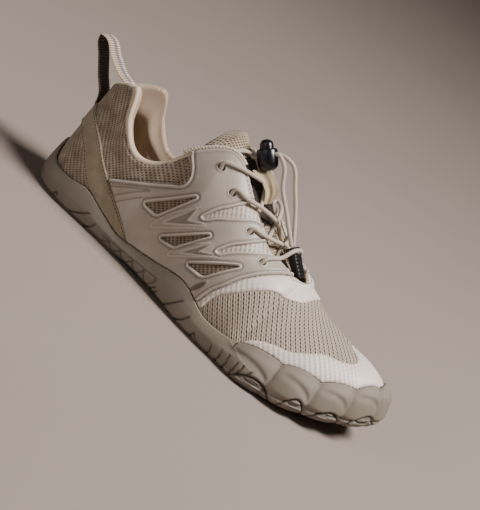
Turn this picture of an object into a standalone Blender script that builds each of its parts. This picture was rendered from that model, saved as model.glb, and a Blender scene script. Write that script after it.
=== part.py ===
# Right-foot trail shoe: cup sole with toe lobes, knit upper under a moulded cage, elastic lace
# with a cord lock. Lengths are in millimetres and angles in degrees until a mesh is made.
# X runs from heel to toe, Y to the inner (medial) side and Z up. Stations count X from the back
# of the heel, and the origin lies on the floor under the middle of the heel.
import math

import bmesh
import bpy
import numpy as np
from mathutils import Matrix, Vector

MM = 0.001

# Driving dimensions
SOLE_LENGTH = 280.0
ORIGIN_X = 38.0
BED_HEIGHT = 8.5
TOE_SPRING = 17.0
SPRING_START = 192.0
ARCH_LIFT = 2.5
ARCH_FROM, ARCH_TO = 78.0, 152.0
UPPER_WALL = 2.0
COLLAR_PAD = 4.0
RIM_WALL = 2.4
OVERLAY_GAP = 0.5
OVER_LIP = 1.2
CAGE_THICK = 1.3
STRAP_THICK = 1.2
FILM_THICK = 0.8
SOLE_GAP = 0.55
INSOLE_THICK = 3.5
INSOLE_INSET = 2.8
LACE_DIAMETER = 2.8
EYELET_DIAMETER = 4.4
EYELET_CUT = 8.0
WEBBING_WIDTH = 16.0
WEBBING_THICK = 1.4
LOOP_THICK = 1.2

# Where one form blends into another: places along the side, or shares of the wall's height
COLLAR_BLEND = (0.30, 0.39)
PADDING_BLEND = (0.50, 0.80)
TOE_BLEND = (0.62, 0.70)
THROAT_SPAN = (0.50, 0.80)
HEEL_ROUNDNESS = 1.6
THROAT_ROUNDNESS = 2.6
RIDGE_SLOPES = (-0.8, 0.2)

# Fineness of the lofts and round pieces
COLUMN_STEP = 12.0
WALL_ROWS = (0.0, 0.15, 0.30, 0.45, 0.59, 0.71, 0.82, 0.92, 1.0)
OVERLAY_START = 2
ROW_SPACING = 0.02
THROAT_COLUMNS = (0.972,)
BED_SHARES = (0.33, 0.67, 1.0)
RUNG_CELLS = 4
INSOLE_CELLS = 2
EYELET_SIDES = 8
CORD_ROUNDNESS = 2
SMOOTH_ANGLE = 40.0
CORNER_LIMIT = 0.45

# The last, one row a station from heel back to toe tip: plan of the feather edge on both sides,
# the top edge (mid line, half gap and height), how the wall leaves the edge (rise, belly) and
# comes to the top (reach, lean from upright), and the height of the sole's lip over the floor.
LAST_COLUMNS = ("lat_x", "lat_y", "med_x", "med_y", "top_x", "mid_y", "gap", "top_z",
                "rise", "belly", "reach", "lean", "lip")
LAST = {
    "heel_back":    (5.0, 0.0, 5.0, 0.0, 9.0, 0.0, 0.0, 80.0, 24.0, 3.0, 24.0, 4.0, 29.0),
    "heel_corner":  (13.0, -19.0, 13.0, 19.0, 15.0, 0.0, 15.0, 86.0, 24.0, 3.0, 26.0, 4.0, 18.0),
    "heel_side":    (32.0, -27.5, 32.0, 27.5, 31.0, 0.0, 23.0, 91.0, 26.0, 3.0, 30.0, 4.0, 17.5),
    "collar_back":  (46.0, -28.5, 46.0, 27.5, 39.0, 0.0, 26.5, 75.0, 22.0, 3.0, 22.0, 4.0, 20.0),
    "ankle":        (62.0, -28.8, 62.0, 27.0, 54.0, 0.0, 28.0, 61.0, 18.0, 2.5, 16.0, 6.0, 15.5),
    "collar_front": (82.0, -30.0, 82.0, 26.5, 73.0, 0.0, 27.0, 66.0, 20.0, 2.5, 18.0, 12.0, 11.0),
    "collar_rise":  (97.0, -32.0, 97.0, 27.0, 87.0, 0.5, 23.0, 86.0, 24.0, 2.0, 24.0, 30.0, 13.0),
    "instep":       (112.0, -35.0, 112.0, 29.0, 104.0, 1.0, 17.5, 99.0, 26.0, 2.0, 26.0, 50.0, 16.0),
    "throat_mid":   (140.0, -41.5, 140.0, 34.5, 137.0, 2.0, 16.0, 83.0, 24.0, 2.0, 24.0, 66.0, 21.5),
    "throat_low":   (166.0, -46.5, 166.0, 40.5, 164.0, 3.0, 16.4, 66.5, 22.0, 2.0, 22.0, 80.0, 15.0),
    "ball":         (192.0, -48.5, 192.0, 43.5, 190.0, 4.0, 0.0, 60.8, 20.0, 2.0, 26.0, 90.0, 17.5),
    "forefoot":     (220.0, -44.0, 222.0, 43.0, 213.0, 5.0, 0.0, 52.6, 18.0, 2.0, 25.0, 90.0, 21.5),
    "toe_side":     (245.0, -31.0, 250.0, 38.0, 235.0, 7.0, 0.0, 49.5, 17.0, 2.0, 21.0, 90.0, 21.5),
    "toe_corner":   (263.0, -13.0, 267.0, 27.0, 250.0, 9.0, 0.0, 47.3, 16.0, 2.0, 15.0, 90.0, 23.5),
    "toe_tip":      (274.0, 11.0, 274.0, 11.0, 257.0, 10.0, 0.0, 46.0, 15.0, 2.0, 11.0, 90.0, 27.0),
}
STATIONS = list(LAST)
THROAT_BASE = STATIONS.index("ball")

# Sole wall from lip to bulge: share of the lip's height, thickness outside the upper, and how
# much of a toe lobe the ring takes.
WALL_COLUMNS = ("rise", "thick", "lobe")
SOLE_WALL = {
    "lip":      (1.00, 1.9, 0.4),
    "shoulder": (0.60, 3.2, 0.8),
    "bulge":    (0.10, 4.4, 1.0),
}
# Lower rings of the sole wall: height over the floor, distance outside the feather edge, share
# of a toe lobe, and how far the groove over the toe pods cuts in.
FOOT_COLUMNS = ("height", "out", "lobe", "groove")
SOLE_FOOT = {
    "groove": (5.6, 4.3, 1.0, 1.8),
    "pod":    (3.2, 4.3, 1.1, 0.0),
    "ground": (0.0, 1.6, 0.9, 0.0),
}
LOBE_DEPTH = 3.0
LOBE_LIFT = 2.8
# Valleys between the toe lobes, as ring positions (0 heel back, 1 toe tip, 2 heel back again).
LOBE_VALLEYS = (0.640, 0.765, 0.852, 0.921, 0.980, 1.180, 1.335)
LOBE_ROUNDNESS = 0.6

# Grooves across the sole's underside (x, width, depth) and up its side edge.
TREAD_COLUMNS = ("x", "width", "depth")
TREAD = {
    "heel_rear":  (20.0, 2.4, 1.8),
    "heel_front": (58.0, 2.4, 1.8),
    "waist_rear": (70.0, 2.4, 1.6),
    "ball_rear":  (160.0, 2.4, 1.8),
    "ball_mid":   (174.0, 2.4, 1.8),
    "ball_front": (188.0, 2.4, 1.8),
}
SIDE_SLOTS = dict(first=180.5, pitch=6.2, count=6, width=1.8, low=-3.0, top=10.5, slant=1.2, depth=3.0)
SLANT_SLOTS = dict(first=137.0, pitch=13.0, count=2, width=1.8, low=-3.0, top=12.0, slant=11.0, depth=2.4)
HEEL_SLOTS = dict(first=45.0, pitch=13.0, count=2, width=1.8, low=-3.0, top=9.0, slant=10.0, depth=2.4)
LATTICE_FORWARD = dict(first=80.0, pitch=11.0, count=4, width=1.3, low=4.6, top=10.0, slant=8.0, depth=1.0)
LATTICE_BACK = dict(first=88.0, pitch=11.0, count=4, width=1.3, low=4.9, top=9.6, slant=-8.0, depth=0.85)
TREAD_INSET = 7.0
SLOT_OVERRUN = 6.0
BELOW_FLOOR = 3.0

# Overlay outlines seen from the side, as (x, z) corners, each rounded by its radius.
CAGE_OUTLINE = ((83.0, 4.0), (77.6, 22.0), (66.0, 29.3), (54.4, 36.8), (71.0, 48.0), (90.0, 61.6),
                (97.5, 69.0), (98.5, 72.8), (95.5, 77.0), (85.5, 84.0), (84.0, 112.0), (186.0, 112.0),
                (177.6, 60.4), (171.2, 54.0), (165.3, 45.8), (161.0, 38.0), (157.4, 30.0), (153.5, 4.0))
CAGE_HOLES = {
    "window_rear":  ((83.0, 39.0), (111.5, 68.0), (95.6, 39.0)),
    "window_mid":   ((106.0, 30.8), (134.6, 56.0), (119.4, 32.6)),
    "window_front": ((132.4, 31.4), (161.6, 53.2), (148.0, 32.2)),
    "slot_rear":    ((117.6, 60.4), (121.6, 68.2), (137.0, 90.0), (152.0, 82.0), (126.4, 63.0)),
    "slot_front":   ((140.4, 49.8), (143.6, 56.4), (158.6, 74.0), (170.0, 72.0), (148.4, 52.0)),
}
STRAP_OUTLINE = ((-10.0, 64.5), (8.5, 63.0), (30.0, 51.8), (41.0, 43.6), (52.0, 36.0), (64.0, 28.4),
                 (76.0, 21.6), (82.0, 4.0), (62.0, 4.0), (46.0, 19.8), (37.0, 27.0), (24.0, 38.4),
                 (7.0, 46.6), (-10.0, 47.0))
TOE_OUTLINE = ((187.0, 2.0), (189.5, 17.0), (198.0, 23.2), (206.0, 30.8), (212.0, 33.4), (222.0, 34.2),
               (233.6, 42.6), (240.0, 43.8), (248.0, 44.6), (248.5, 60.0), (300.0, 60.0), (300.0, 2.0))
THROAT_OUTLINE = ((154.4, 4.0), (158.4, 30.0), (162.0, 37.8), (166.2, 45.4), (172.0, 53.4), (178.4, 59.8),
                  (182.0, 80.0), (201.0, 80.0), (199.0, 54.6), (193.0, 52.6), (184.0, 52.4), (179.0, 49.4),
                  (170.5, 40.2), (162.6, 28.6), (160.0, 4.0))
OUTLINE_RADIUS = 2.2
HOLE_RADIUS = 2.0

# Eyelets by place along the side (0 heel, 1 toe) and up the wall (0 feather edge, 1 throat edge).
EYELET_COLUMNS = ("along", "up")
EYELETS = {
    "top":  (0.402, 0.830),
    "high": (0.449, 0.800),
    "low":  (0.525, 0.822),
    "base": (0.587, 0.795),
}

# Tongue sections: crown of the outer face, half width, drop at its sides, thickness.
TONGUE_COLUMNS = ("x", "z", "half", "drop", "thick")
TONGUE = {
    "tip":    (90.0, 105.4, 17.0, 8.5, 4.0),
    "head":   (98.6, 110.2, 16.4, 12.4, 6.0),
    "neck":   (106.0, 105.2, 16.4, 12.0, 5.6),
    "instep": (113.0, 100.4, 17.6, 12.4, 4.6),
    "high":   (124.0, 93.2, 19.6, 12.0, 3.4),
    "mid":    (140.0, 82.6, 20.5, 9.4, 3.0),
    "low":    (160.0, 68.0, 19.0, 6.4, 2.6),
    "base":   (176.0, 60.0, 13.0, 3.4, 2.2),
    "end":    (188.0, 56.8, 9.0, 1.6, 2.0),
}
TONGUE_MID = (0.5, 4.0)
TONGUE_EDGE = 0.6
TONGUE_ACROSS = 8
TONGUE_STEP = 8.5

# Lace keeper: distance of its middle line over the tongue's crown, and its width.
LOOP_COLUMNS = ("x", "lift", "width")
TONGUE_LOOP = {
    "sewn_top":    (120.0, 1.1, 13.0),
    "rise":        (124.0, 5.2, 11.0),
    "arch":        (130.0, 6.8, 11.0),
    "fall":        (134.4, 5.6, 11.0),
    "sewn_bottom": (138.6, 1.1, 11.0),
}
LOOP_STEPS = 8

# Pull loop: middle line of the webbing in the centre plane, from the heel to the collar.
PULL_COLUMNS = ("x", "z")
PULL_LOOP = {
    "sewn_low":   (3.4, 66.2),
    "low_leg":    (-5.0, 77.0),
    "high_leg":   (-13.0, 87.5),
    "bend_back":  (-18.6, 94.6),
    "top":        (-19.0, 98.0),
    "bend_front": (-15.4, 98.6),
    "front_leg":  (-4.0, 91.4),
    "sewn_high":  (8.6, 82.2),
}
STRIP_STEP = 5.0

# Lace crossings: the eyelets that both cords leave, where they cross over the tongue, and where
# they go under the other side's edge.
CROSSING_COLUMNS = ("eyelet", "cross_x", "under_x")
LACE_CROSSINGS = {
    "lace_crossing_top": ("top", 131.0, 140.0),
    "lace_crossing_mid": ("high", 150.4, 156.6),
    "lace_crossing_low": ("low", 163.0, 168.4),
}
LACE_BAR_TOP = ((173.2, -5.6, 73.4), (173.2, 8.6, 73.4))
LACE_CLEARANCE = 0.9
LACE_STEP = 7.0
EDGE_SHARE = 0.58
UNDER_EDGE = 4.2

# Cord lock, turned about its own axis (radius, height), and its place.
LOCK_CENTRE = (120.0, 0.0, 108.0)
LOCK_TILT = -44.0
LOCK_BARREL = ((0.0, -7.0), (4.8, -7.0), (4.8, 4.2), (5.9, 4.5), (6.7, 3.4), (6.8, -4.0),
               (5.9, -7.4), (3.4, -9.2), (0.0, -9.6))
LOCK_BUTTON = ((0.0, 10.8), (2.2, 10.4), (3.7, 9.3), (4.4, 7.8), (4.5, 6.2), (4.5, -3.7), (0.0, -3.7))
LOCK_TRAVEL = 3.0
LOCK_SLOT = dict(half_width=3.6, half_height=2.2)
LOCK_REACH = 8.5
LOCK_SIDES = 14
CORD_SPACING = 3.6

# Lace end clip: a tapered block with a seat for the lowest lace and grip grooves across its face.
CLIP_CENTRE = (177.5, 1.5, 67.3)
CLIP_TILT = 38.0
CLIP_SIZE = (20.0, 12.5, 6.6)
CLIP_TAPER = 0.8
CLIP_ROUND = 1.0
CLIP_GROOVES = dict(count=4, pitch=3.0, middle=2.6, width=1.0, depth=0.8)
CLIP_SEAT = dict(place=-7.0, width=4.2, depth=3.3)

# Free lace ends (x, y, z): two leads from the eyestay into the lock, the rest from lock to clip.
CORD_LEADS = 2
CORD_LATERAL = {
    "eyestay":  (105.0, -12.6, 102.4),
    "lead":     (109.6, -3.6, 105.2),
    "shoulder": (133.0, -1.7, 111.0),
    "drop":     (141.4, -1.4, 99.0),
    "hang":     (152.0, -0.8, 89.4),
    "gather":   (161.6, -0.8, 80.6),
    "clip":     (168.8, -0.2, 74.0),
}
CORD_MEDIAL = {
    "eyestay":  (105.0, 13.8, 103.2),
    "lead":     (109.6, 3.8, 105.0),
    "shoulder": (136.0, 2.6, 114.0),
    "drop":     (147.0, 3.6, 102.4),
    "hang":     (156.2, 4.2, 91.0),
    "gather":   (163.4, 3.6, 81.4),
    "clip":     (168.8, 3.2, 74.0),
}
CORD_STEP = 7.0

# Colour and roughness of each finish
PALETTE = {
    "outsole": ("8F867A", 0.75),
    "insole": ("A3937C", 0.90),
    "upper": ("9C8C78", 0.90),
    "cage_lateral": ("BDB2A4", 0.45),
    "cage_medial": ("BDB2A4", 0.45),
    "heel_strap": ("A28F6C", 0.85),
    "toe_overlay": ("C6BDB2", 0.50),
    "throat_overlay": ("C9C1B7", 0.50),
    "tongue": ("8D7C67", 0.90),
    "tongue_loop": ("C2A980", 0.85),
    "pull_loop": ("B9AA96", 0.85),
    "lace": ("C4B6A3", 0.80),
    "lock": ("17181C", 0.40),
    "clip": ("141416", 0.50),
}


def rows_of(table, names):
    return {key: dict(zip(names, row)) for key, row in table.items()}


def column(table, names, key):
    return np.array([row[key] for row in rows_of(table, names).values()], float)


def station(key):
    return column(LAST, LAST_COLUMNS, key)


def smoothstep(low, high, value):
    t = np.clip((np.asarray(value, float) - low) / (high - low), 0.0, 1.0)
    return t * t * (3.0 - 2.0 * t)


def hermite(knots, values, slopes, at):
    i = np.clip(np.searchsorted(knots, at, side="right") - 1, 0, len(knots) - 2)
    h = knots[i + 1] - knots[i]
    t = (at - knots[i]) / h
    start = (2 * t**3 - 3 * t**2 + 1) * values[i] + (t**3 - 2 * t**2 + t) * h * slopes[i]
    return start + (3 * t**2 - 2 * t**3) * values[i + 1] + (t**3 - t**2) * h * slopes[i + 1]


def slopes_of(knots, values, end_gains=(1.0, 1.0)):
    d = np.diff(knots)
    s = np.diff(values) / d
    slopes = np.empty(len(values))
    slopes[1:-1] = (s[:-1] * d[1:] + s[1:] * d[:-1]) / (d[:-1] + d[1:])
    slopes[0] = s[0] * end_gains[0]
    slopes[-1] = s[-1] * end_gains[1]
    return slopes


def along_side():
    # Station places along the side, 0 at the heel back and 1 at the toe tip, by mean plan length
    steps = 0.0
    for side in ("lat", "med"):
        steps = steps + np.hypot(np.diff(station(side + "_x")), np.diff(station(side + "_y"))) / 2
    total = np.concatenate([[0.0], np.cumsum(steps)])
    return total / total[-1], total[-1]


ALONG, SIDE_LENGTH = along_side()
BASE_ALONG = ALONG[THROAT_BASE]


def ring_curve(lateral, medial, r):
    # A closed smooth curve through lateral values heel to toe and medial values back to the heel
    knots = np.concatenate([ALONG, 2.0 - ALONG[-2:0:-1]])
    values = np.concatenate([lateral, medial[-2:0:-1]])
    knots = np.concatenate([knots[-2:] - 2.0, knots, knots[:3] + 2.0])
    values = np.concatenate([values[-2:], values, values[:3]])
    return hermite(knots, values, slopes_of(knots, values), np.mod(np.asarray(r, float), 2.0))


def ring_station(key, r):
    values = station(key)
    return ring_curve(values, values, r)


def side_place(r):
    # Distance along the side, the same for both sides
    p = np.mod(np.asarray(r, float), 2.0)
    return np.where(p > 1.0, 2.0 - p, p)


def half_gap(r):
    # Squares are blended, so that the heel back and the throat's base are round in plan
    knots = ALONG[:THROAT_BASE + 1]
    squares = station("gap")[:THROAT_BASE + 1] ** 2
    p = side_place(r)
    blend = hermite(knots, squares, slopes_of(knots, squares, (HEEL_ROUNDNESS, THROAT_ROUNDNESS)), p)
    return np.where(p >= BASE_ALONG, 0.0, np.sqrt(np.clip(blend, 0.0, None)))


def floor_z(x):
    past = np.clip(np.asarray(x, float) - SPRING_START, 0.0, None)
    return TOE_SPRING * (past / (SOLE_LENGTH - SPRING_START)) ** 2


def arch_z(x):
    middle = (ARCH_FROM + ARCH_TO) / 2
    quarter = (ARCH_TO - ARCH_FROM) / 4
    rise = smoothstep(ARCH_FROM, middle - quarter / 2, x)
    fall = smoothstep(middle + quarter / 2, ARCH_TO, x)
    return ARCH_LIFT * (rise - fall)


def feather(r):
    x = ring_curve(station("lat_x"), station("med_x"), r)
    y = ring_curve(station("lat_y"), station("med_y"), r)
    return np.stack([x, y, floor_z(x) + BED_HEIGHT], -1)


def outward(r, e=1e-3):
    d = feather(np.asarray(r) + e) - feather(np.asarray(r) - e)
    n = np.stack([d[..., 1], -d[..., 0], np.zeros_like(d[..., 0])], -1)
    return n / np.linalg.norm(n, axis=-1, keepdims=True)


def top_edge(r):
    side = np.where(np.mod(np.asarray(r, float), 2.0) <= 1.0, -1.0, 1.0)
    y = ring_station("mid_y", r) + side * half_gap(r)
    return np.stack([ring_station("top_x", r), y, ring_station("top_z", r)], -1)


def ridge_slope(r, e=1e-3):
    d = top_edge(np.asarray(r) + e) - top_edge(np.asarray(r) - e)
    run = np.where(np.abs(d[..., 0]) > 1e-9, d[..., 0], 1.0)
    return np.clip(np.where(np.abs(d[..., 0]) > 1e-9, d[..., 2] / run, 0.0), *RIDGE_SLOPES)


def skin(r, w):
    # The upper's outer face: a cubic wall from the feather edge (w = 0) to the top edge (w = 1)
    r = np.asarray(r, float)
    w = np.asarray(w, float)[..., None]
    up = np.array([0.0, 0.0, 1.0])
    low, high = feather(r), top_edge(r)
    toward = low - high
    toward[..., 2] = 0.0
    toward /= np.linalg.norm(toward, axis=-1, keepdims=True)
    toward[..., 2] = ridge_slope(r) * toward[..., 0]
    lean = np.radians(ring_station("lean", r))[..., None]
    rise, belly, reach = (ring_station(key, r)[..., None] for key in ("rise", "belly", "reach"))
    low_pull = low + up * rise + outward(r) * belly
    high_pull = high + reach * (np.sin(lean) * toward - np.cos(lean) * up)
    v = 1.0 - w
    return v**3 * low + 3 * v**2 * w * low_pull + 3 * v * w**2 * high_pull + w**3 * high


def side_normal(r, w, e=1e-3):
    w = np.clip(w, 0.02, 0.97)
    n = np.cross(skin(r + e, w) - skin(r - e, w), skin(r, w + 0.01) - skin(r, w - 0.01))
    return n / np.linalg.norm(n, axis=-1, keepdims=True)


def skin_normal(r, w):
    # On the ridge in front of the throat both sides share one normal
    n = side_normal(r, w)
    mate = side_normal(np.mod(2.0 - r, 2.0), w)
    on_ridge = ((side_place(r) >= BASE_ALONG - 1e-6) & (w > 0.999))[..., None]
    n = np.where(on_ridge, n + mate, n)
    return n / np.linalg.norm(n, axis=-1, keepdims=True)


def offset_skin(r, w, distance):
    distance = np.broadcast_to(np.asarray(distance, float), np.shape(r))
    return skin(r, w) + skin_normal(r, w) * distance[..., None]


def height_to_w(r, height):
    # Where up the wall a height over the floor is reached
    w = np.linspace(0.0, 1.0, 81)
    places = []
    for ring, over in zip(np.atleast_1d(r), np.atleast_1d(height)):
        points = skin(np.full_like(w, ring), w)
        places.append(np.interp(over, points[:, 2] - floor_z(points[:, 0]), w))
    return np.array(places)


def side_columns():
    # Places along a side: the stations, the toe valleys, one behind the throat's round base, and
    # even steps between them
    fixed = set(ALONG) | {float(side_place(v)) for v in LOBE_VALLEYS}
    fixed = sorted(fixed | {share * BASE_ALONG for share in THROAT_COLUMNS})
    places = []
    for start, end in zip(fixed[:-1], fixed[1:]):
        steps = max(1, round((end - start) * SIDE_LENGTH / COLUMN_STEP))
        places.extend(np.linspace(start, end, steps, endpoint=False))
    return np.array(places + [1.0])


SIDE = side_columns()
RING = np.concatenate([SIDE, 2.0 - SIDE[-2:0:-1]])


def lobe(r):
    # Bulge of the toe lobes: nothing in a valley, one at a lobe's middle
    r = np.mod(np.asarray(r, float), 2.0)
    valleys = np.array(LOBE_VALLEYS)
    i = np.clip(np.searchsorted(valleys, r, side="right") - 1, 0, len(valleys) - 2)
    t = np.clip((r - valleys[i]) / (valleys[i + 1] - valleys[i]), 0.0, 1.0)
    return np.sin(math.pi * t) ** LOBE_ROUNDNESS


def toe_share(r):
    return smoothstep(*TOE_BLEND, side_place(r))


def lip_height(r):
    return ring_station("lip", r) + LOBE_LIFT * lobe(r)


def lip_w(r):
    return height_to_w(r, lip_height(r))


def to_metres(points):
    return (np.asarray(points, float) - np.array([ORIGIN_X, 0.0, 0.0])) * MM


def linear(hex_colour):
    values = [int(hex_colour[i:i + 2], 16) / 255 for i in (0, 2, 4)]
    return [v / 12.92 if v <= 0.04045 else ((v + 0.055) / 1.055) ** 2.4 for v in values] + [1.0]


def painted(finish):
    material = bpy.data.materials.get(finish)
    if material is None:
        colour, roughness = PALETTE[finish]
        material = bpy.data.materials.new(finish)
        material.use_nodes = True
        shader = material.node_tree.nodes["Principled BSDF"]
        shader.inputs["Base Color"].default_value = linear(colour)
        shader.inputs["Roughness"].default_value = roughness
        shader.inputs["Metallic"].default_value = 0.0
    return material


def add_object(name, data, finish=None):
    made = bpy.data.objects.new(name, data)
    if finish:
        data.materials.append(painted(finish))
        bpy.data.collections["trail_shoe"].objects.link(made)
        made.parent = bpy.data.objects["shoe"]
    else:
        bpy.data.collections["cutters"].objects.link(made)
        made.hide_render = True
        made.display_type = "WIRE"
    return made


def mesh_object(name, points, faces, finish=None):
    mesh = bpy.data.meshes.new(name)
    mesh.from_pydata([tuple(p) for p in points], [], [tuple(map(int, f)) for f in faces])
    shape = bmesh.new()
    shape.from_mesh(mesh)
    loose = [v for v in shape.verts if not v.link_faces]
    bmesh.ops.delete(shape, geom=loose, context="VERTS")
    bmesh.ops.recalc_face_normals(shape, faces=shape.faces)
    shape.to_mesh(mesh)
    shape.free()
    mesh.shade_smooth()
    mesh.set_sharp_from_angle(angle=math.radians(SMOOTH_ANGLE))
    return add_object(name, mesh, finish)


def without_repeats(loop):
    return [v for i, v in enumerate(loop) if v != loop[i - 1]]


def wall_between(name, outer, inner, finish, wrap=False, welds=(), breaks=()):
    # A closed wall between two grids of points that match, with its border filled in. Cells are
    # split along the same diagonal everywhere, so that layers on one skin run side by side
    columns, rows = outer.shape[:2]
    index = np.arange(columns * rows).reshape(columns, rows)
    for there, here in welds:
        index[there] = index[here]
    cells = []
    for j in range(columns if wrap else columns - 1):
        after = (j + 1) % columns
        if j in breaks:
            continue
        for k in range(rows - 1):
            low, high = (j, k), (after, k + 1)
            for loop in ((low, (after, k), high), (low, high, (j, k + 1))):
                loop = without_repeats([index[corner] for corner in loop])
                if len(loop) == 3:
                    cells.append(loop)
    edges = {(loop[i - 1], loop[i]) for loop in cells for i in range(len(loop))}
    border = [(a, b) for a, b in edges if (b, a) not in edges]
    count = columns * rows
    faces = list(cells)
    faces += [[v + count for v in reversed(loop)] for loop in cells]
    faces += [[b, a, a + count, b + count] for a, b in sorted(border)]
    points = np.concatenate([outer.reshape(-1, 3), inner.reshape(-1, 3)])
    return mesh_object(name, to_metres(points), faces, finish)


def ridge_welds(rings, row):
    # In front of the throat the two sides share their top row
    first = {}
    welds = []
    for j, r in enumerate(rings):
        p = round(float(side_place(r)), 6)
        if p < BASE_ALONG - 1e-6:
            continue
        if p in first:
            welds.append(((j, row), (first[p], row)))
        first.setdefault(p, j)
    return welds


def rounded(corners, radius, steps):
    # The outline with each corner turned into a short arc-like curve
    outline = []
    if not radius:
        return [Vector(corner) for corner in corners]
    for i, corner in enumerate(corners):
        here = Vector(corner)
        before = Vector(corners[i - 1]) - here
        after = Vector(corners[(i + 1) % len(corners)]) - here
        cut = min(radius, CORNER_LIMIT * before.length, CORNER_LIMIT * after.length)
        start = here + before.normalized() * cut
        end = here + after.normalized() * cut
        for step in range(steps + 1):
            t = step / steps
            outline.append((1 - t) ** 2 * start + 2 * t * (1 - t) * here + t**2 * end)
    return outline


def side_prism(name, corners, radius=0.0, steps=1, low=-90.0, high=90.0):
    # An outline in side view, carried straight across the shoe
    outline = rounded(corners, radius, steps)
    count = len(outline)
    points = [(p.x, low, p.y) for p in outline] + [(p.x, high, p.y) for p in outline]
    faces = [list(range(count)), list(range(2 * count - 1, count - 1, -1))]
    faces += [[i, i + count, (i + 1) % count + count, (i + 1) % count] for i in range(count)]
    return mesh_object(name, to_metres(points), faces)


def joined(name, pieces):
    mesh = bpy.data.meshes.new(name)
    shape = bmesh.new()
    for piece in pieces:
        shape.from_mesh(piece.data)
        bpy.data.objects.remove(piece)
    shape.to_mesh(mesh)
    shape.free()
    return add_object(name, mesh)


def boolean(target, operation, tool):
    modifier = target.modifiers.new(operation.lower() + "_" + tool.name, "BOOLEAN")
    modifier.operation = operation
    modifier.object = tool


def smooth_path(points, step):
    # Even points on a smooth curve through the given ones
    points = np.asarray(points, float)
    knots = np.concatenate([[0.0], np.cumsum(np.linalg.norm(np.diff(points, axis=0), axis=1))])
    fine = np.linspace(0.0, knots[-1], 40 * len(points))
    curve = np.stack([hermite(knots, c, slopes_of(knots, c), fine) for c in points.T], -1)
    run = np.concatenate([[0.0], np.cumsum(np.linalg.norm(np.diff(curve, axis=0), axis=1))])
    even = np.linspace(0.0, run[-1], max(3, round(run[-1] / step) + 1))
    return np.stack([np.interp(even, run, c) for c in curve.T], -1)


def cord(name, points, diameter, finish):
    curve = bpy.data.curves.new(name, "CURVE")
    curve.dimensions = "3D"
    curve.bevel_depth = diameter / 2 * MM
    curve.bevel_resolution = CORD_ROUNDNESS
    curve.use_fill_caps = True
    spline = curve.splines.new("POLY")
    spline.points.add(len(points) - 1)
    for slot, point in zip(spline.points, to_metres(points)):
        slot.co = (*point, 1.0)
    return add_object(name, curve, finish)


def as_mesh(curve_object, finish=None):
    # The tube of a curve as a closed mesh that can be joined or cut
    name = curve_object.name
    bpy.context.view_layer.update()
    seen = curve_object.evaluated_get(bpy.context.evaluated_depsgraph_get())
    mesh = bpy.data.meshes.new_from_object(seen)
    place = curve_object.matrix_world.copy()
    bpy.data.objects.remove(curve_object)
    shape = bmesh.new()
    shape.from_mesh(mesh)
    bmesh.ops.remove_doubles(shape, verts=shape.verts, dist=1e-6)
    bmesh.ops.recalc_face_normals(shape, faces=shape.faces)
    shape.to_mesh(mesh)
    shape.free()
    mesh.materials.clear()
    made = add_object(name, mesh, finish)
    made.matrix_world = place
    return made


def make_upper():
    r, w = np.meshgrid(RING, np.array(WALL_ROWS), indexing="ij")
    collar = 1.0 - smoothstep(*COLLAR_BLEND, side_place(r))
    padding = smoothstep(*PADDING_BLEND, w) * COLLAR_PAD * collar
    wall = UPPER_WALL + padding
    wall = np.where(w > 0.999, np.minimum(wall, RIM_WALL), wall)
    outer = offset_skin(r, w, 0.0)
    inner = offset_skin(r, w, -wall)
    welds = ridge_welds(RING, len(WALL_ROWS) - 1)
    wall_between("upper", outer, inner, "upper", wrap=True, welds=welds)


def ladder_cap(ring_index, points, faces, height, upside, cells):
    # Rungs from the outer to the inner side close a ring, with their points at the given height
    last = len(SIDE) - 1
    rungs = []
    for i in range(last + 1):
        lateral, medial = ring_index[i], ring_index[-i % len(RING)]
        if lateral == medial:
            rungs.append([lateral] * (cells + 1))
            continue
        rung = [lateral]
        for step in range(1, cells):
            t = step / cells
            middle = (1 - t) * points[lateral] + t * points[medial]
            middle[2] = height(middle[0])
            points.append(middle)
            rung.append(len(points) - 1)
        rungs.append(rung + [medial])
    for here, after in zip(rungs[:-1], rungs[1:]):
        for k in range(cells):
            loop = without_repeats([here[k], after[k], after[k + 1], here[k + 1]])
            faces.append(loop if upside else loop[::-1])


def ring_loft(name, rings, finish, first_height, last_height, cells=RUNG_CELLS):
    # Closed rings skinned in turn, with a cap at each end
    points = [p for ring in rings for p in ring]
    count = len(RING)
    faces = []
    for level in range(len(rings) - 1):
        base = level * count
        for j in range(count):
            after = (j + 1) % count
            faces.append([base + j, base + after, base + count + after, base + count + j])
    last = (len(rings) - 1) * count
    ladder_cap(list(range(count)), points, faces, first_height, True, cells)
    ladder_cap(list(range(last, last + count)), points, faces, last_height, False, cells)
    return mesh_object(name, to_metres(np.array(points)), faces, finish)


def sole_rings():
    lip = lip_w(RING)
    bulge = lobe(RING) * LOBE_DEPTH
    toe = toe_share(RING)
    bed = feather(RING) + outward(RING) * SOLE_GAP
    bed[:, 2] -= SOLE_GAP
    rings = [bed]
    rings += [offset_skin(RING, lip * share, SOLE_GAP) for share in BED_SHARES]
    for row in rows_of(SOLE_WALL, WALL_COLUMNS).values():
        out = SOLE_GAP + row["thick"] + row["lobe"] * bulge
        rings.append(offset_skin(RING, lip * row["rise"], out))
    for row in rows_of(SOLE_FOOT, FOOT_COLUMNS).values():
        out = row["out"] + row["lobe"] * bulge - row["groove"] * toe
        ring = feather(RING) + outward(RING) * out[:, None]
        arch = arch_z(ring[:, 0]) * (1.0 - row["height"] / BED_HEIGHT)
        ring[:, 2] = floor_z(ring[:, 0]) + row["height"] + arch
        rings.append(ring)
    return rings


def edge_y(x, side):
    # Where the sole's side stands at a place along the shoe
    places = np.linspace(0.02, 0.98, 200) if side < 0 else np.linspace(1.98, 1.02, 200)
    plan = feather(places)
    out = column(SOLE_FOOT, FOOT_COLUMNS, "out").max()
    return float(np.interp(x, plan[:, 0], plan[:, 1])) + side * out


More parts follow.
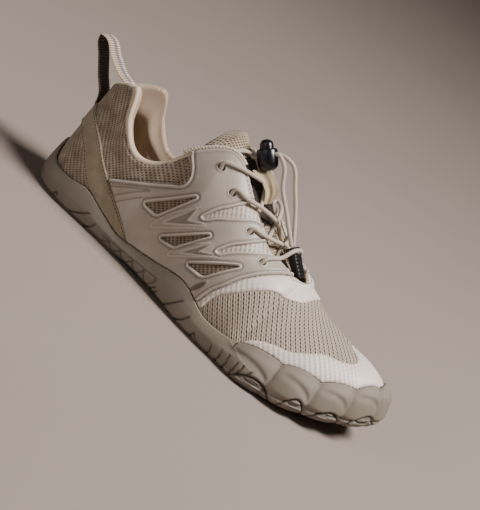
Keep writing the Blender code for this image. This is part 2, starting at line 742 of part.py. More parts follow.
def side_slots(prefix, slots, side):
    # Slanted grooves up the sole's side edge
    made = []
    half = slots["width"] / 2
    for i in range(slots["count"]):
        x = slots["first"] + i * slots["pitch"]
        end_x = x + slots["slant"]
        foot_z, top_z = (float(floor_z(x)) + slots[key] for key in ("low", "top"))
        corners = ((x - half, foot_z), (x + half, foot_z), (end_x + half, top_z), (end_x - half, top_z))
        face = edge_y((x + end_x) / 2, side)
        ends = sorted((face - side * slots["depth"], face + side * SLOT_OVERRUN))
        made.append(side_prism(f"{prefix}_{side:+d}_{i}", corners, low=ends[0], high=ends[1]))
    return made


def make_outsole():
    sole = ring_loft("outsole", sole_rings(), "outsole",
                     lambda x: floor_z(x) + BED_HEIGHT - SOLE_GAP,
                     lambda x: floor_z(x) + arch_z(x))
    across = []
    for name, row in rows_of(TREAD, TREAD_COLUMNS).items():
        rear, front = row["x"] - row["width"] / 2, row["x"] + row["width"] / 2
        corners = ((rear, -BELOW_FLOOR), (front, -BELOW_FLOOR), (front, row["depth"]), (rear, row["depth"]))
        ends = [edge_y(row["x"], side) - side * TREAD_INSET for side in (-1, 1)]
        across.append(side_prism(name, corners, low=ends[0], high=ends[1]))
    boolean(sole, "DIFFERENCE", joined("tread_grooves", across))
    upright = []
    for side in (-1, 1):
        upright += side_slots("ball_slot", SIDE_SLOTS, side)
        upright += side_slots("slant_slot", SLANT_SLOTS, side)
        upright += side_slots("heel_slot", HEEL_SLOTS, side)
    boolean(sole, "DIFFERENCE", joined("side_grooves", upright))
    for label, slots in (("lattice_forward", LATTICE_FORWARD), ("lattice_back", LATTICE_BACK)):
        crossing = side_slots(label, slots, -1) + side_slots(label, slots, 1)
        boolean(sole, "DIFFERENCE", joined(label, crossing))


def make_insole():
    rings = []
    for height in (INSOLE_THICK, 0.0):
        ring = feather(RING) - outward(RING) * INSOLE_INSET
        ring[:, 2] = floor_z(ring[:, 0]) + BED_HEIGHT + height
        rings.append(ring)
    ring_loft("insole", rings, "insole",
              lambda x: floor_z(x) + BED_HEIGHT + INSOLE_THICK,
              lambda x: floor_z(x) + BED_HEIGHT, INSOLE_CELLS)


def overlay(name, rings, thick, outline, breaks=()):
    # A skin on the upper from just over the sole's lip to the top edge, cut by a side-view outline
    start = height_to_w(rings, lip_height(rings) + OVER_LIP)[:, None]
    rows = np.array((0.0,) + WALL_ROWS[OVERLAY_START:])[None, :]
    w = np.maximum(rows, start + ROW_SPACING * np.arange(rows.size)[None, :])
    w = np.minimum(w, 1.0)
    r = np.broadcast_to(rings[:, None], w.shape)
    outer = offset_skin(r, w, OVERLAY_GAP + thick)
    inner = offset_skin(r, w, OVERLAY_GAP)
    welds = ridge_welds(rings, rows.size - 1)
    made = wall_between(name, outer, inner, name, welds=welds, breaks=breaks)
    boolean(made, "INTERSECT", side_prism(name + "_outline", outline, OUTLINE_RADIUS))
    return made


def between(low, high):
    return SIDE[(SIDE >= low - 1e-6) & (SIDE <= high + 1e-6)]


def eyelet_point(name, side, distance):
    eyelet = rows_of(EYELETS, EYELET_COLUMNS)[name]
    r = np.array([eyelet["along"] if side < 0 else 2.0 - eyelet["along"]])
    w = np.array([eyelet["up"]])
    return offset_skin(r, w, distance)[0], skin_normal(r, w)[0]


def eyelet_cutters(label, side):
    made = []
    for name in EYELETS:
        centre, normal = eyelet_point(name, side, 0.0)
        turn = Vector(normal).to_track_quat("Z", "Y").to_matrix().to_4x4()
        place = Matrix.Translation(Vector(to_metres(centre))) @ turn
        shape = bmesh.new()
        radius = EYELET_DIAMETER / 2 * MM
        bmesh.ops.create_cone(shape, cap_ends=True, segments=EYELET_SIDES, radius1=radius,
                              radius2=radius, depth=EYELET_CUT * MM, matrix=place)
        mesh = bpy.data.meshes.new(f"{label}_{name}")
        shape.to_mesh(mesh)
        shape.free()
        made.append(add_object(mesh.name, mesh))
    return made


def make_cages():
    places = between(ALONG[STATIONS.index("collar_back")], BASE_ALONG)
    for name, side, rings in (("cage_lateral", -1, places), ("cage_medial", 1, 2.0 - places[::-1])):
        cage = overlay(name, rings, CAGE_THICK, CAGE_OUTLINE)
        holes = [side_prism(f"{name}_{hole}", corners, HOLE_RADIUS, steps=2)
                 for hole, corners in CAGE_HOLES.items()]
        holes += eyelet_cutters(name + "_eyelet", side)
        boolean(cage, "DIFFERENCE", joined(name + "_holes", holes))


def make_overlays():
    heel = between(0.0, ALONG[STATIONS.index("collar_rise")])
    overlay("heel_strap", np.concatenate([2.0 - heel[:0:-1], heel]), STRAP_THICK, STRAP_OUTLINE)
    toe = between(ALONG[STATIONS.index("throat_low")], 1.0)
    overlay("toe_overlay", np.concatenate([toe, 2.0 - toe[-2::-1]]), FILM_THICK, TOE_OUTLINE)
    throat = between(*THROAT_SPAN)
    both = np.concatenate([throat, 2.0 - throat[::-1]])
    overlay("throat_overlay", both, FILM_THICK, THROAT_OUTLINE, breaks=(len(throat) - 1,))


def tongue_line(x):
    # Crown of the tongue's outer face in the centre plane, with its normal there
    xs, zs = column(TONGUE, TONGUE_COLUMNS, "x"), column(TONGUE, TONGUE_COLUMNS, "z")
    slopes = slopes_of(xs, zs)
    x = np.asarray(x, float)
    z = hermite(xs, zs, slopes, x)
    rise = (hermite(xs, zs, slopes, x + 0.05) - hermite(xs, zs, slopes, x - 0.05)) / 0.1
    size = np.hypot(rise, 1.0)
    middle = np.interp(x, (xs[0], xs[-1]), (TONGUE_MID[0], TONGUE_MID[1]))
    flat = np.zeros_like(x)
    return np.stack([x, middle, z], -1), np.stack([-rise / size, flat, 1.0 / size], -1)


def make_tongue():
    xs = column(TONGUE, TONGUE_COLUMNS, "x")
    count = round((xs[-1] - xs[0]) / TONGUE_STEP)
    x = np.linspace(xs[0], xs[-1], count + 1)
    sizes = {}
    for key in ("half", "drop", "thick"):
        values = column(TONGUE, TONGUE_COLUMNS, key)
        sizes[key] = hermite(xs, values, slopes_of(xs, values), x)[:, None, None]
    crown, normal = tongue_line(x)
    v = np.linspace(-1.0, 1.0, TONGUE_ACROSS + 1)[None, :, None]
    across = np.array([0.0, 1.0, 0.0])
    outer = crown[:, None] + across * v * sizes["half"] - normal[:, None] * v**2 * sizes["drop"]
    edge = 1.0 - (1.0 - TONGUE_EDGE) * v**4
    inner = outer - normal[:, None] * sizes["thick"] * edge
    wall_between("tongue", outer, inner, "tongue")


def strip(name, middle, normal, width, thick, finish):
    # A flat band of changing width along a line in the centre plane
    side = np.array([0.0, 0.5, 0.0]) * width[:, None]
    lift = normal * thick / 2
    outer = np.stack([middle - side + lift, middle + side + lift], 1)
    inner = np.stack([middle - side - lift, middle + side - lift], 1)
    return wall_between(name, outer, inner, finish)


def make_loops():
    xs = column(TONGUE_LOOP, LOOP_COLUMNS, "x")
    x = np.linspace(xs[0], xs[-1], LOOP_STEPS + 1)
    sizes = [hermite(xs, c, slopes_of(xs, c), x) for c in
             (column(TONGUE_LOOP, LOOP_COLUMNS, key) for key in ("lift", "width"))]
    crown, normal = tongue_line(x)
    strip("tongue_loop", crown + normal * sizes[0][:, None], normal, sizes[1], LOOP_THICK, "tongue_loop")
    route = np.stack([column(PULL_LOOP, PULL_COLUMNS, key) for key in ("x", "z")], -1)
    route = smooth_path(np.insert(route, 1, 0.0, axis=1), STRIP_STEP)
    tangent = np.gradient(route, axis=0)
    normal = np.stack([-tangent[:, 2], tangent[:, 1], tangent[:, 0]], -1)
    normal /= np.linalg.norm(normal, axis=1, keepdims=True)
    width = np.full(len(route), WEBBING_WIDTH)
    strip("pull_loop", route, normal, width, WEBBING_THICK, "pull_loop")


def tongue_point(x, y, lift):
    # A point at a height over the tongue's outer face
    xs = column(TONGUE, TONGUE_COLUMNS, "x")
    half, drop = (np.interp(x, xs, column(TONGUE, TONGUE_COLUMNS, key)) for key in ("half", "drop"))
    crown, normal = tongue_line(np.array([x]))
    v = (y - crown[0, 1]) / half
    return np.array([crown[0, 0], y, crown[0, 2]]) + normal[0] * (lift - drop * v**2)


def throat_edge(x, side):
    # Place along the side, and the point, where the throat's edge passes x
    throat = between(ALONG[STATIONS.index("collar_rise")], BASE_ALONG)
    along = np.interp(x, top_edge(throat)[:, 0], throat)
    return along, top_edge(np.array([along if side < 0 else 2.0 - along]))[0]


def out_of_eyelet(name, side, toward_x):
    # A cord that leaves an eyelet and passes over the throat's edge
    clear = OVERLAY_GAP + CAGE_THICK + LACE_DIAMETER / 2 + LACE_CLEARANCE
    along, up = (rows_of(EYELETS, EYELET_COLUMNS)[name][key] for key in EYELET_COLUMNS)
    eye_x = eyelet_point(name, side, clear)[0][0]
    edge_along, _ = throat_edge(eye_x + EDGE_SHARE * (toward_x - eye_x), side)
    places = np.array([along, (along + edge_along) / 2, edge_along])
    rings = places if side < 0 else 2.0 - places
    return list(offset_skin(rings, np.array([up, (1.0 + up) / 2, 1.0]), clear))


def make_laces():
    lift = LACE_DIAMETER / 2 + LACE_CLEARANCE
    for name, row in rows_of(LACE_CROSSINGS, CROSSING_COLUMNS).items():
        cross_x, under_x = row["cross_x"], row["under_x"]
        crown, normal = tongue_line(np.array([cross_x]))
        centre = crown[0] + normal[0] * lift
        runs = []
        for side in (-1, 1):
            _, edge = throat_edge(under_x, -side)
            end = tongue_point(under_x, edge[1] + side * UNDER_EDGE, lift)
            points = out_of_eyelet(row["eyelet"], side, cross_x) + [centre, end]
            route = smooth_path(points, LACE_STEP)
            runs.append(cord(f"{name}_run_{side:+d}", route, LACE_DIAMETER, "lace"))
        over = as_mesh(runs[0], "lace")
        over.name = name
        boolean(over, "UNION", as_mesh(runs[1]))
    top = [np.array(point) for point in LACE_BAR_TOP]
    bar = out_of_eyelet("base", -1, top[0][0]) + top + out_of_eyelet("base", 1, top[1][0])[::-1]
    as_mesh(cord("lace_bar", smooth_path(bar, LACE_STEP), LACE_DIAMETER, "lace"), "lace")


def lock_axes():
    turn = Matrix.Rotation(math.radians(LOCK_TILT), 4, "Y")
    return turn, np.array(turn @ Vector((1.0, 0.0, 0.0)))


def make_free_ends():
    _, through = lock_axes()
    for name, table, side in (("lace_end_lateral", CORD_LATERAL, -1), ("lace_end_medial", CORD_MEDIAL, 1)):
        route = [np.array(row) for row in table.values()]
        centre = np.array(LOCK_CENTRE) + np.array([0.0, side * CORD_SPACING / 2, 0.0])
        held = [centre + through * reach for reach in (-LOCK_REACH, 0.0, LOCK_REACH)]
        route = route[:CORD_LEADS] + held + route[CORD_LEADS:]
        cord(name, smooth_path(route, CORD_STEP), LACE_DIAMETER, "lace")


def turned(name, profile, finish):
    mesh = bpy.data.meshes.new(name)
    points = [(radius * MM, 0.0, height * MM) for radius, height in profile]
    mesh.from_pydata(points, [(i, i + 1) for i in range(len(points) - 1)], [])
    made = add_object(name, mesh, finish)
    screw = made.modifiers.new("turn", "SCREW")
    screw.steps = LOCK_SIDES
    screw.render_steps = LOCK_SIDES
    screw.use_merge_vertices = True
    screw.merge_threshold = 1e-5
    return made


def box(name, size, centre=(0.0, 0.0, 0.0), finish=None):
    mesh = bpy.data.meshes.new(name)
    shape = bmesh.new()
    bmesh.ops.create_cube(shape, size=1.0)
    bmesh.ops.scale(shape, vec=Vector(size) * MM, verts=shape.verts)
    bmesh.ops.translate(shape, vec=Vector(centre) * MM, verts=shape.verts)
    shape.to_mesh(mesh)
    shape.free()
    return add_object(name, mesh, finish)


def placed(made, centre, turn):
    made.matrix_world = Matrix.Translation(Vector(to_metres(centre))) @ turn


def make_lock():
    turn, _ = lock_axes()
    half_height = LOCK_SLOT["half_height"]
    pieces = (("lock_barrel", LOCK_BARREL, 0.0), ("lock_button", LOCK_BUTTON, LOCK_TRAVEL))
    for name, profile, room in pieces:
        made = turned(name, profile, "lock")
        size = (4 * LOCK_REACH, 2 * LOCK_SLOT["half_width"], 2 * half_height + room)
        slot = box(name + "_slot", size, (0.0, 0.0, room / 2))
        boolean(made, "DIFFERENCE", slot)
        placed(made, LOCK_CENTRE, turn)
        placed(slot, LOCK_CENTRE, turn)


def make_clip():
    turn = Matrix.Rotation(math.radians(CLIP_TILT), 4, "Y")
    clip = box("lace_clip", CLIP_SIZE, finish="clip")
    for corner in clip.data.vertices:
        if corner.co.x > 0:
            corner.co.y *= CLIP_TAPER
            corner.co.z *= CLIP_TAPER
    bevel = clip.modifiers.new("round", "BEVEL")
    bevel.width = CLIP_ROUND * MM
    bevel.segments = 2
    _, width, height = CLIP_SIZE
    count, pitch, middle = (CLIP_GROOVES[key] for key in ("count", "pitch", "middle"))
    size = (CLIP_GROOVES["width"], width * 2, CLIP_GROOVES["depth"] * 2)
    grooves = []
    for i in range(count):
        x = middle + (i - (count - 1) / 2) * pitch
        grooves.append(box(f"grip_{i}", size, (x, 0.0, height / 2)))
    size = (CLIP_SEAT["width"], width * 2, CLIP_SEAT["depth"] * 2)
    grooves.append(box("clip_seat", size, (CLIP_SEAT["place"], 0.0, height / 2)))
    grip = joined("clip_grooves", grooves)
    boolean(clip, "DIFFERENCE", grip)
    placed(clip, CLIP_CENTRE, turn)
    placed(grip, CLIP_CENTRE, turn)


def main():
    for old in list(bpy.data.objects):
        bpy.data.objects.remove(old)
    for label in ("trail_shoe", "cutters"):
        made = bpy.data.collections.new(label)
        bpy.context.scene.collection.children.link(made)
    root = bpy.data.objects.new("shoe", None)
    bpy.data.collections["trail_shoe"].objects.link(root)
    make_outsole()
    make_insole()
    make_upper()
    make_cages()
    make_overlays()
    make_tongue()
    make_loops()
    make_laces()
    make_free_ends()
    make_lock()
    make_clip()


if __name__ == "__main__":
    main()
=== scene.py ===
import math

import bmesh
import bpy
import numpy as np
from mathutils import Matrix, Vector
from mathutils.geometry import delaunay_2d_cdt
from mathutils.kdtree import KDTree


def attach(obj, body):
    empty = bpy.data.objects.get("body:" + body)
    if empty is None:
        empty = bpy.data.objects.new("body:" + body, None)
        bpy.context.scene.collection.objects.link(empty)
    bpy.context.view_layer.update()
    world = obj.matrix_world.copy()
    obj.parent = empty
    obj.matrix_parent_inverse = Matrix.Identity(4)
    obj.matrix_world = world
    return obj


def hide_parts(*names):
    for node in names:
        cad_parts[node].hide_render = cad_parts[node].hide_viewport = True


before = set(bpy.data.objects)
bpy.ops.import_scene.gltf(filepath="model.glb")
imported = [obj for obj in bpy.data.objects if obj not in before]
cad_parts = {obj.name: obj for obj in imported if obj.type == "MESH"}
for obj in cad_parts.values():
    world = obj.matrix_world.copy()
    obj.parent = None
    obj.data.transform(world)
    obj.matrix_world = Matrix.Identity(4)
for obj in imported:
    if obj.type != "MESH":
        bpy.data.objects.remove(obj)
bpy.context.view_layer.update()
print("frame loaded:", len(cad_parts), "nodes")

shoeBody = "shoe"
buttonBody = "button"
mm = 0.001
heelMiddle = 38.0  # stations count from the heel's back, the origin lies under the heel's middle


def toMetres(points):
    return (np.asarray(points, float) - np.array([heelMiddle, 0.0, 0.0])) * mm


def smoothStep(low, high, value):
    t = np.clip((np.asarray(value, float) - low) / (high - low), 0.0, 1.0)
    return t * t * (3.0 - 2.0 * t)


def unit(vectors):
    return vectors / np.linalg.norm(vectors, axis=-1, keepdims=True)


def runAlong(line):
    return np.concatenate([[0.0], np.cumsum(np.linalg.norm(np.diff(line, axis=0), axis=1))])


def hump(distance, width):
    return np.exp(-(np.asarray(distance, float) / width) ** 2)


def roundEdge(edge, width):
    return np.sqrt(np.clip(1.0 - (1.0 - np.clip(edge / width, 0.0, 1.0)) ** 2, 0.0, 1.0))


# camera at the photograph's angle to the shoe, rolled so that the toe points down
shot = {
    "azimuth": 16.5, "elevation": 16.3, "roll": 37.2,
    "distance": 1.2, "target": (0.102, 0.0, 0.045),
    "slideRight": 0.0048, "slideUp": -0.0018, "lens": 131.9,
}


def shotAxes():
    a, e, roll = (math.radians(shot[key]) for key in ("azimuth", "elevation", "roll"))
    back = Vector((math.sin(a) * math.cos(e), -math.cos(a) * math.cos(e), math.sin(e)))
    level = Vector((math.cos(a), math.sin(a), 0.0))
    up = back.cross(level)
    right = level * math.cos(roll) + up * math.sin(roll)
    top = up * math.cos(roll) - level * math.sin(roll)
    return right, top, back


def aimCamera():
    right, top, back = shotAxes()
    data = bpy.data.cameras.new("photoAngle")
    data.lens = shot["lens"]
    data.sensor_width = 36.0
    camera = bpy.data.objects.new("photoAngle", data)
    place = Vector(shot["target"]) + back * shot["distance"]
    place += right * shot["slideRight"] + top * shot["slideUp"]
    turn = Matrix((right, top, back)).transposed().to_4x4()
    camera.matrix_world = Matrix.Translation(place) @ turn
    bpy.context.scene.collection.objects.link(camera)
    bpy.context.scene.camera = camera


aimCamera()
print("camera set")


# one function turns hex to linear, one adds a node with its settings and links
def linearColour(hexColour):
    values = [int(hexColour[i:i + 2], 16) / 255 for i in (0, 2, 4)]
    return [v / 12.92 if v <= 0.04045 else ((v + 0.055) / 1.055) ** 2.4 for v in values] + [1.0]


def outOf(source):
    # a node stands for its factor, or else for its first output
    if isinstance(source, bpy.types.NodeSocket):
        return source
    return source.outputs["Fac" if "Fac" in source.outputs else 0]


def addNode(tree, kind, settings=None, links=None):
    node = tree.nodes.new(kind)
    for key, value in (settings or {}).items():
        if key == "stops":
            band = node.color_ramp
            while len(band.elements) < len(value):
                band.elements.new(0.5)
            for element, (place, hexColour) in zip(band.elements, value):
                element.position = place
                element.color = linearColour(hexColour)
        elif isinstance(key, str) and hasattr(node, key):
            setattr(node, key, value)
        else:
            node.inputs[key].default_value = value
    for socket, source in (links or {}).items():
        tree.links.new(outOf(source), node.inputs[socket])
    return node


def startMaterial(name, settings, uvMap=None):
    # its pattern lies on the piece's own map, or else on Object coordinates
    material = bpy.data.materials.new(name)
    material.use_nodes = True
    tree = material.node_tree
    shader = tree.nodes["Principled BSDF"]
    for key, value in settings.items():
        shader.inputs[key].default_value = value
    if uvMap:
        return material, tree, shader, addNode(tree, "ShaderNodeUVMap", {"uv_map": uvMap}).outputs["UV"]
    return material, tree, shader, addNode(tree, "ShaderNodeTexCoord").outputs["Object"]


def wire(material, tree, shader, colour=None, bump=None):
    for key, source in (("Base Color", colour), ("Normal", bump)):
        if source is not None:
            tree.links.new(outOf(source), shader.inputs[key])
    return material


# the last that the shoe is made on, one row a station from heel back to toe tip
lastColumns = ("latX", "latY", "medX", "medY", "topX", "midY", "gap", "topZ",
               "rise", "belly", "reach", "lean", "lip")
lastStations = {
    "heelBack":    (5.0, 0.0, 5.0, 0.0, 9.0, 0.0, 0.0, 80.0, 24.0, 3.0, 24.0, 4.0, 29.0),
    "heelCorner":  (13.0, -19.0, 13.0, 19.0, 15.0, 0.0, 15.0, 86.0, 24.0, 3.0, 26.0, 4.0, 18.0),
    "heelSide":    (32.0, -27.5, 32.0, 27.5, 31.0, 0.0, 23.0, 91.0, 26.0, 3.0, 30.0, 4.0, 17.5),
    "collarBack":  (46.0, -28.5, 46.0, 27.5, 39.0, 0.0, 26.5, 75.0, 22.0, 3.0, 22.0, 4.0, 20.0),
    "ankle":       (62.0, -28.8, 62.0, 27.0, 54.0, 0.0, 28.0, 61.0, 18.0, 2.5, 16.0, 6.0, 15.5),
    "collarFront": (82.0, -30.0, 82.0, 26.5, 73.0, 0.0, 27.0, 66.0, 20.0, 2.5, 18.0, 12.0, 11.0),
    "collarRise":  (97.0, -32.0, 97.0, 27.0, 87.0, 0.5, 23.0, 86.0, 24.0, 2.0, 24.0, 30.0, 13.0),
    "instep":      (112.0, -35.0, 112.0, 29.0, 104.0, 1.0, 17.5, 99.0, 26.0, 2.0, 26.0, 50.0, 16.0),
    "throatMid":   (140.0, -41.5, 140.0, 34.5, 137.0, 2.0, 16.0, 83.0, 24.0, 2.0, 24.0, 66.0, 21.5),
    "throatLow":   (166.0, -46.5, 166.0, 40.5, 164.0, 3.0, 16.4, 66.5, 22.0, 2.0, 22.0, 80.0, 15.0),
    "ball":        (192.0, -48.5, 192.0, 43.5, 190.0, 4.0, 0.0, 60.8, 20.0, 2.0, 26.0, 90.0, 17.5),
    "forefoot":    (220.0, -44.0, 222.0, 43.0, 213.0, 5.0, 0.0, 52.6, 18.0, 2.0, 25.0, 90.0, 21.5),
    "toeSide":     (245.0, -31.0, 250.0, 38.0, 235.0, 7.0, 0.0, 49.5, 17.0, 2.0, 21.0, 90.0, 21.5),
    "toeCorner":   (263.0, -13.0, 267.0, 27.0, 250.0, 9.0, 0.0, 47.3, 16.0, 2.0, 15.0, 90.0, 23.5),
    "toeTip":      (274.0, 11.0, 274.0, 11.0, 257.0, 10.0, 0.0, 46.0, 15.0, 2.0, 11.0, 90.0, 27.0),
}
lastShape = {
    "bed": 8.5, "length": 280.0, "toeSpring": 17.0, "springStart": 192.0,
    "archLift": 2.5, "archFrom": 78.0, "archTo": 152.0,
    "heelRoundness": 1.6, "throatRoundness": 2.6, "ridgeLow": -0.8, "ridgeHigh": 0.2,
    "wall": 2.0, "collarPad": 4.0,
}
stationNames = list(lastStations)
throatEnd = stationNames.index("ball")


def stationValues(key):
    return np.array([row[lastColumns.index(key)] for row in lastStations.values()], float)


def blend(a, b, slopeA, slopeB, t):
    start = (2 * t**3 - 3 * t**2 + 1) * a + (t**3 - 2 * t**2 + t) * slopeA
    return start + (3 * t**2 - 2 * t**3) * b + (t**3 - t**2) * slopeB


def hermite(knots, values, slopes, at):
    i = np.clip(np.searchsorted(knots, at, side="right") - 1, 0, len(knots) - 2)
    h = knots[i + 1] - knots[i]
    return blend(values[i], values[i + 1], h * slopes[i], h * slopes[i + 1], (at - knots[i]) / h)


def slopesOf(knots, values, endGains=(1.0, 1.0)):
    d = np.diff(knots)
    s = np.diff(values) / d
    slopes = np.empty(len(values))
    slopes[1:-1] = (s[:-1] * d[1:] + s[1:] * d[:-1]) / (d[:-1] + d[1:])
    slopes[0] = s[0] * endGains[0]
    slopes[-1] = s[-1] * endGains[1]
    return slopes


def smoothThrough(knots, values, at):
    knots, values = np.asarray(knots, float), np.asarray(values, float)
    return hermite(knots, values, slopesOf(knots, values), np.clip(at, knots[0], knots[-1]))


def placesAlong():
    steps = 0.0
    for side in ("lat", "med"):
        steps = steps + np.hypot(np.diff(stationValues(side + "X")), np.diff(stationValues(side + "Y"))) / 2
    total = np.concatenate([[0.0], np.cumsum(steps)])
    return total / total[-1], total[-1]


stationPlaces, sideLength = placesAlong()
throatBase = stationPlaces[throatEnd]


def ringCurve(lateral, medial, r):
    knots = np.concatenate([stationPlaces, 2.0 - stationPlaces[-2:0:-1]])
    values = np.concatenate([lateral, medial[-2:0:-1]])
    knots = np.concatenate([knots[-2:] - 2.0, knots, knots[:3] + 2.0])
    values = np.concatenate([values[-2:], values, values[:3]])
    return hermite(knots, values, slopesOf(knots, values), np.mod(np.asarray(r, float), 2.0))


def ringStation(key, r):
    values = stationValues(key)
    return ringCurve(values, values, r)


def sidePlace(r):
    p = np.mod(np.asarray(r, float), 2.0)
    return np.where(p > 1.0, 2.0 - p, p)


def halfGap(r):
    knots = stationPlaces[:throatEnd + 1]
    squares = stationValues("gap")[:throatEnd + 1] ** 2
    p = sidePlace(r)
    gains = lastShape["heelRoundness"], lastShape["throatRoundness"]
    square = hermite(knots, squares, slopesOf(knots, squares, gains), p)
    return np.where(p >= throatBase, 0.0, np.sqrt(np.clip(square, 0.0, None)))


def floorZ(x):
    past = np.clip(np.asarray(x, float) - lastShape["springStart"], 0.0, None)
    return lastShape["toeSpring"] * (past / (lastShape["length"] - lastShape["springStart"])) ** 2


def archZ(x):
    start, end = lastShape["archFrom"], lastShape["archTo"]
    middle, eighth = (start + end) / 2, (end - start) / 8
    rise = smoothStep(start, middle - eighth, x)
    return lastShape["archLift"] * (rise - smoothStep(middle + eighth, end, x))


def feather(r):
    x = ringCurve(stationValues("latX"), stationValues("medX"), r)
    y = ringCurve(stationValues("latY"), stationValues("medY"), r)
    return np.stack([x, y, floorZ(x) + lastShape["bed"]], -1)


def outward(r, e=1e-3):
    d = feather(np.asarray(r) + e) - feather(np.asarray(r) - e)
    n = np.stack([d[..., 1], -d[..., 0], np.zeros_like(d[..., 0])], -1)
    return unit(n)


def topEdge(r):
    side = np.where(np.mod(np.asarray(r, float), 2.0) <= 1.0, -1.0, 1.0)
    y = ringStation("midY", r) + side * halfGap(r)
    return np.stack([ringStation("topX", r), y, ringStation("topZ", r)], -1)


def ridgeSlope(r, e=1e-3):
    d = topEdge(np.asarray(r) + e) - topEdge(np.asarray(r) - e)
    run = np.where(np.abs(d[..., 0]) > 1e-9, d[..., 0], 1.0)
    slope = np.where(np.abs(d[..., 0]) > 1e-9, d[..., 2] / run, 0.0)
    return np.clip(slope, lastShape["ridgeLow"], lastShape["ridgeHigh"])


def skin(r, w):
    # the upper's outer face, from the feather edge (w 0) to the top edge (w 1)
    r = np.asarray(r, float)
    w = np.asarray(w, float)[..., None]
    up = np.array([0.0, 0.0, 1.0])
    low, high = feather(r), topEdge(r)
    toward = low - high
    toward[..., 2] = 0.0
    toward = unit(toward)
    toward[..., 2] = ridgeSlope(r) * toward[..., 0]
    lean = np.radians(ringStation("lean", r))[..., None]
    rise, belly, reach = (ringStation(key, r)[..., None] for key in ("rise", "belly", "reach"))
    lowPull = low + up * rise + outward(r) * belly
    highPull = high + reach * (np.sin(lean) * toward - np.cos(lean) * up)
    v = 1.0 - w
    return v**3 * low + 3 * v**2 * w * lowPull + 3 * v * w**2 * highPull + w**3 * high


def sideNormal(r, w, e=1e-3):
    w = np.clip(w, 0.02, 0.97)
    n = np.cross(skin(r + e, w) - skin(r - e, w), skin(r, w + 0.01) - skin(r, w - 0.01))
    return unit(n)


def skinNormal(r, w):
    r, w = np.asarray(r, float), np.asarray(w, float)
    n = sideNormal(r, w)
    mate = sideNormal(np.mod(2.0 - r, 2.0), w)
    onRidge = ((sidePlace(r) >= throatBase - 1e-6) & (w > 0.999))[..., None]
    n = np.where(onRidge, n + mate, n)
    return unit(n)


def offsetSkin(r, w, distance):
    distance = np.broadcast_to(np.asarray(distance, float), np.shape(w))
    return skin(r, w) + skinNormal(r, w) * distance[..., None]


def heightToUp(r, height):
    w = np.linspace(0.0, 1.0, 121)
    points = skin(np.asarray(r, float)[:, None], np.broadcast_to(w, (len(r), len(w))))
    over = points[..., 2] - floorZ(points[..., 0])
    return np.array([np.interp(h, row, w) for h, row in zip(height, over)])


# toe lobes of the sole: valleys are ring places, 0 heel back, 1 toe tip, 2 heel back again
lobes = {
    "valleys": (0.640, 0.765, 0.852, 0.921, 0.980, 1.180, 1.335),
    "depth": 3.0, "lift": 2.8, "roundness": 0.6, "softEnd": 0.5,
}


def lobeShare(r):
    r = np.mod(np.asarray(r, float), 2.0)
    valleys = np.array(lobes["valleys"])
    i = np.clip(np.searchsorted(valleys, r, side="right") - 1, 0, len(valleys) - 2)
    t = np.clip((r - valleys[i]) / (valleys[i + 1] - valleys[i]), 0.0, 1.0)
    # the first and the last lobe rise softly out of the wall
    rise = np.where(i == 0, t, np.where(i == len(valleys) - 2, 1.0 - t, 1.0))
    return np.sin(math.pi * t) ** lobes["roundness"] * smoothStep(0.0, lobes["softEnd"], rise)


def lipHeight(r):
    return ringStation("lip", r) + lobes["lift"] * lobeShare(r)


def lipUp(r):
    return heightToUp(r, lipHeight(r))


# lengths up the wall in millimetres, so that weaves keep their pitch
lengthTable = {"along": np.linspace(0.0, 1.0, 201), "up": np.linspace(0.0, 1.0, 101)}


def fillLengthTable():
    along, up = lengthTable["along"], lengthTable["up"]
    points = skin(along[:, None], np.broadcast_to(up, (len(along), len(up))))
    steps = np.linalg.norm(np.diff(points, axis=1), axis=2)
    lengthTable["length"] = np.concatenate([np.zeros((len(along), 1)), np.cumsum(steps, axis=1)], 1)


fillLengthTable()


def wallLength(r, w):
    along, up, length = (lengthTable[key] for key in ("along", "up", "length"))
    p, w = np.broadcast_arrays(sidePlace(r), np.clip(w, 0.0, 1.0))
    i = np.clip(np.searchsorted(along, p) - 1, 0, len(along) - 2)
    k = np.clip(np.searchsorted(up, w) - 1, 0, len(up) - 2)
    a = (p - along[i]) / (along[i + 1] - along[i])
    b = (w - up[k]) / (up[k + 1] - up[k])
    low = length[i, k] * (1 - a) + length[i + 1, k] * a
    high = length[i, k + 1] * (1 - a) + length[i + 1, k + 1] * a
    return low * (1 - b) + high * b


weave = {
    "heelTurn": 39.0, "ribAcross": (0.528, 0.564), "ribUpward": (-0.762, 0.522),
    "toeGather": 0.1, "ridgeBlur": 13,
}


def heelWeave(r, w):
    # the heel's knit lies turned, with its rows along the collar seam
    turn = math.radians(weave["heelTurn"])
    u = np.broadcast_to(sidePlace(r) * sideLength, np.shape(w))
    v = wallLength(r, w)
    return np.stack([u * math.cos(turn) + v * math.sin(turn), v * math.cos(turn) - u * math.sin(turn)], -1)


def ribWeave(r, w):
    # cloth coordinates: along the ring and out from the ridge, turned onto the knit's bias
    along, length = lengthTable["along"], lengthTable["length"]
    half = weave["ridgeBlur"] // 2
    ridge = np.pad(length[:, -1] + halfGap(along), half, mode="edge")
    ridge = np.convolve(ridge, np.ones(2 * half + 1) / (2 * half + 1), "valid")
    place = sidePlace(r)
    out = wallLength(r, w) - np.interp(place, along, ridge)
    out = out * smoothStep(0.0, weave["toeGather"], 1.0 - place)
    out = np.where(np.mod(r, 2.0) > 1.0, -out, out)
    run = place * sideLength
    return np.stack([a * run + b * out for a, b in (weave["ribAcross"], weave["ribUpward"])], -1)


# meshes from arrays, in millimetres from the heel's back
def gridFaces(columns, rows, skip=None):
    j, k = np.meshgrid(np.arange(columns - 1), np.arange(rows - 1), indexing="ij")
    a = j * rows + k
    faces = np.stack([a, a + rows, a + rows + 1, a + 1], -1)
    if skip is not None:
        return faces[~skip]
    return faces.reshape(-1, 4)


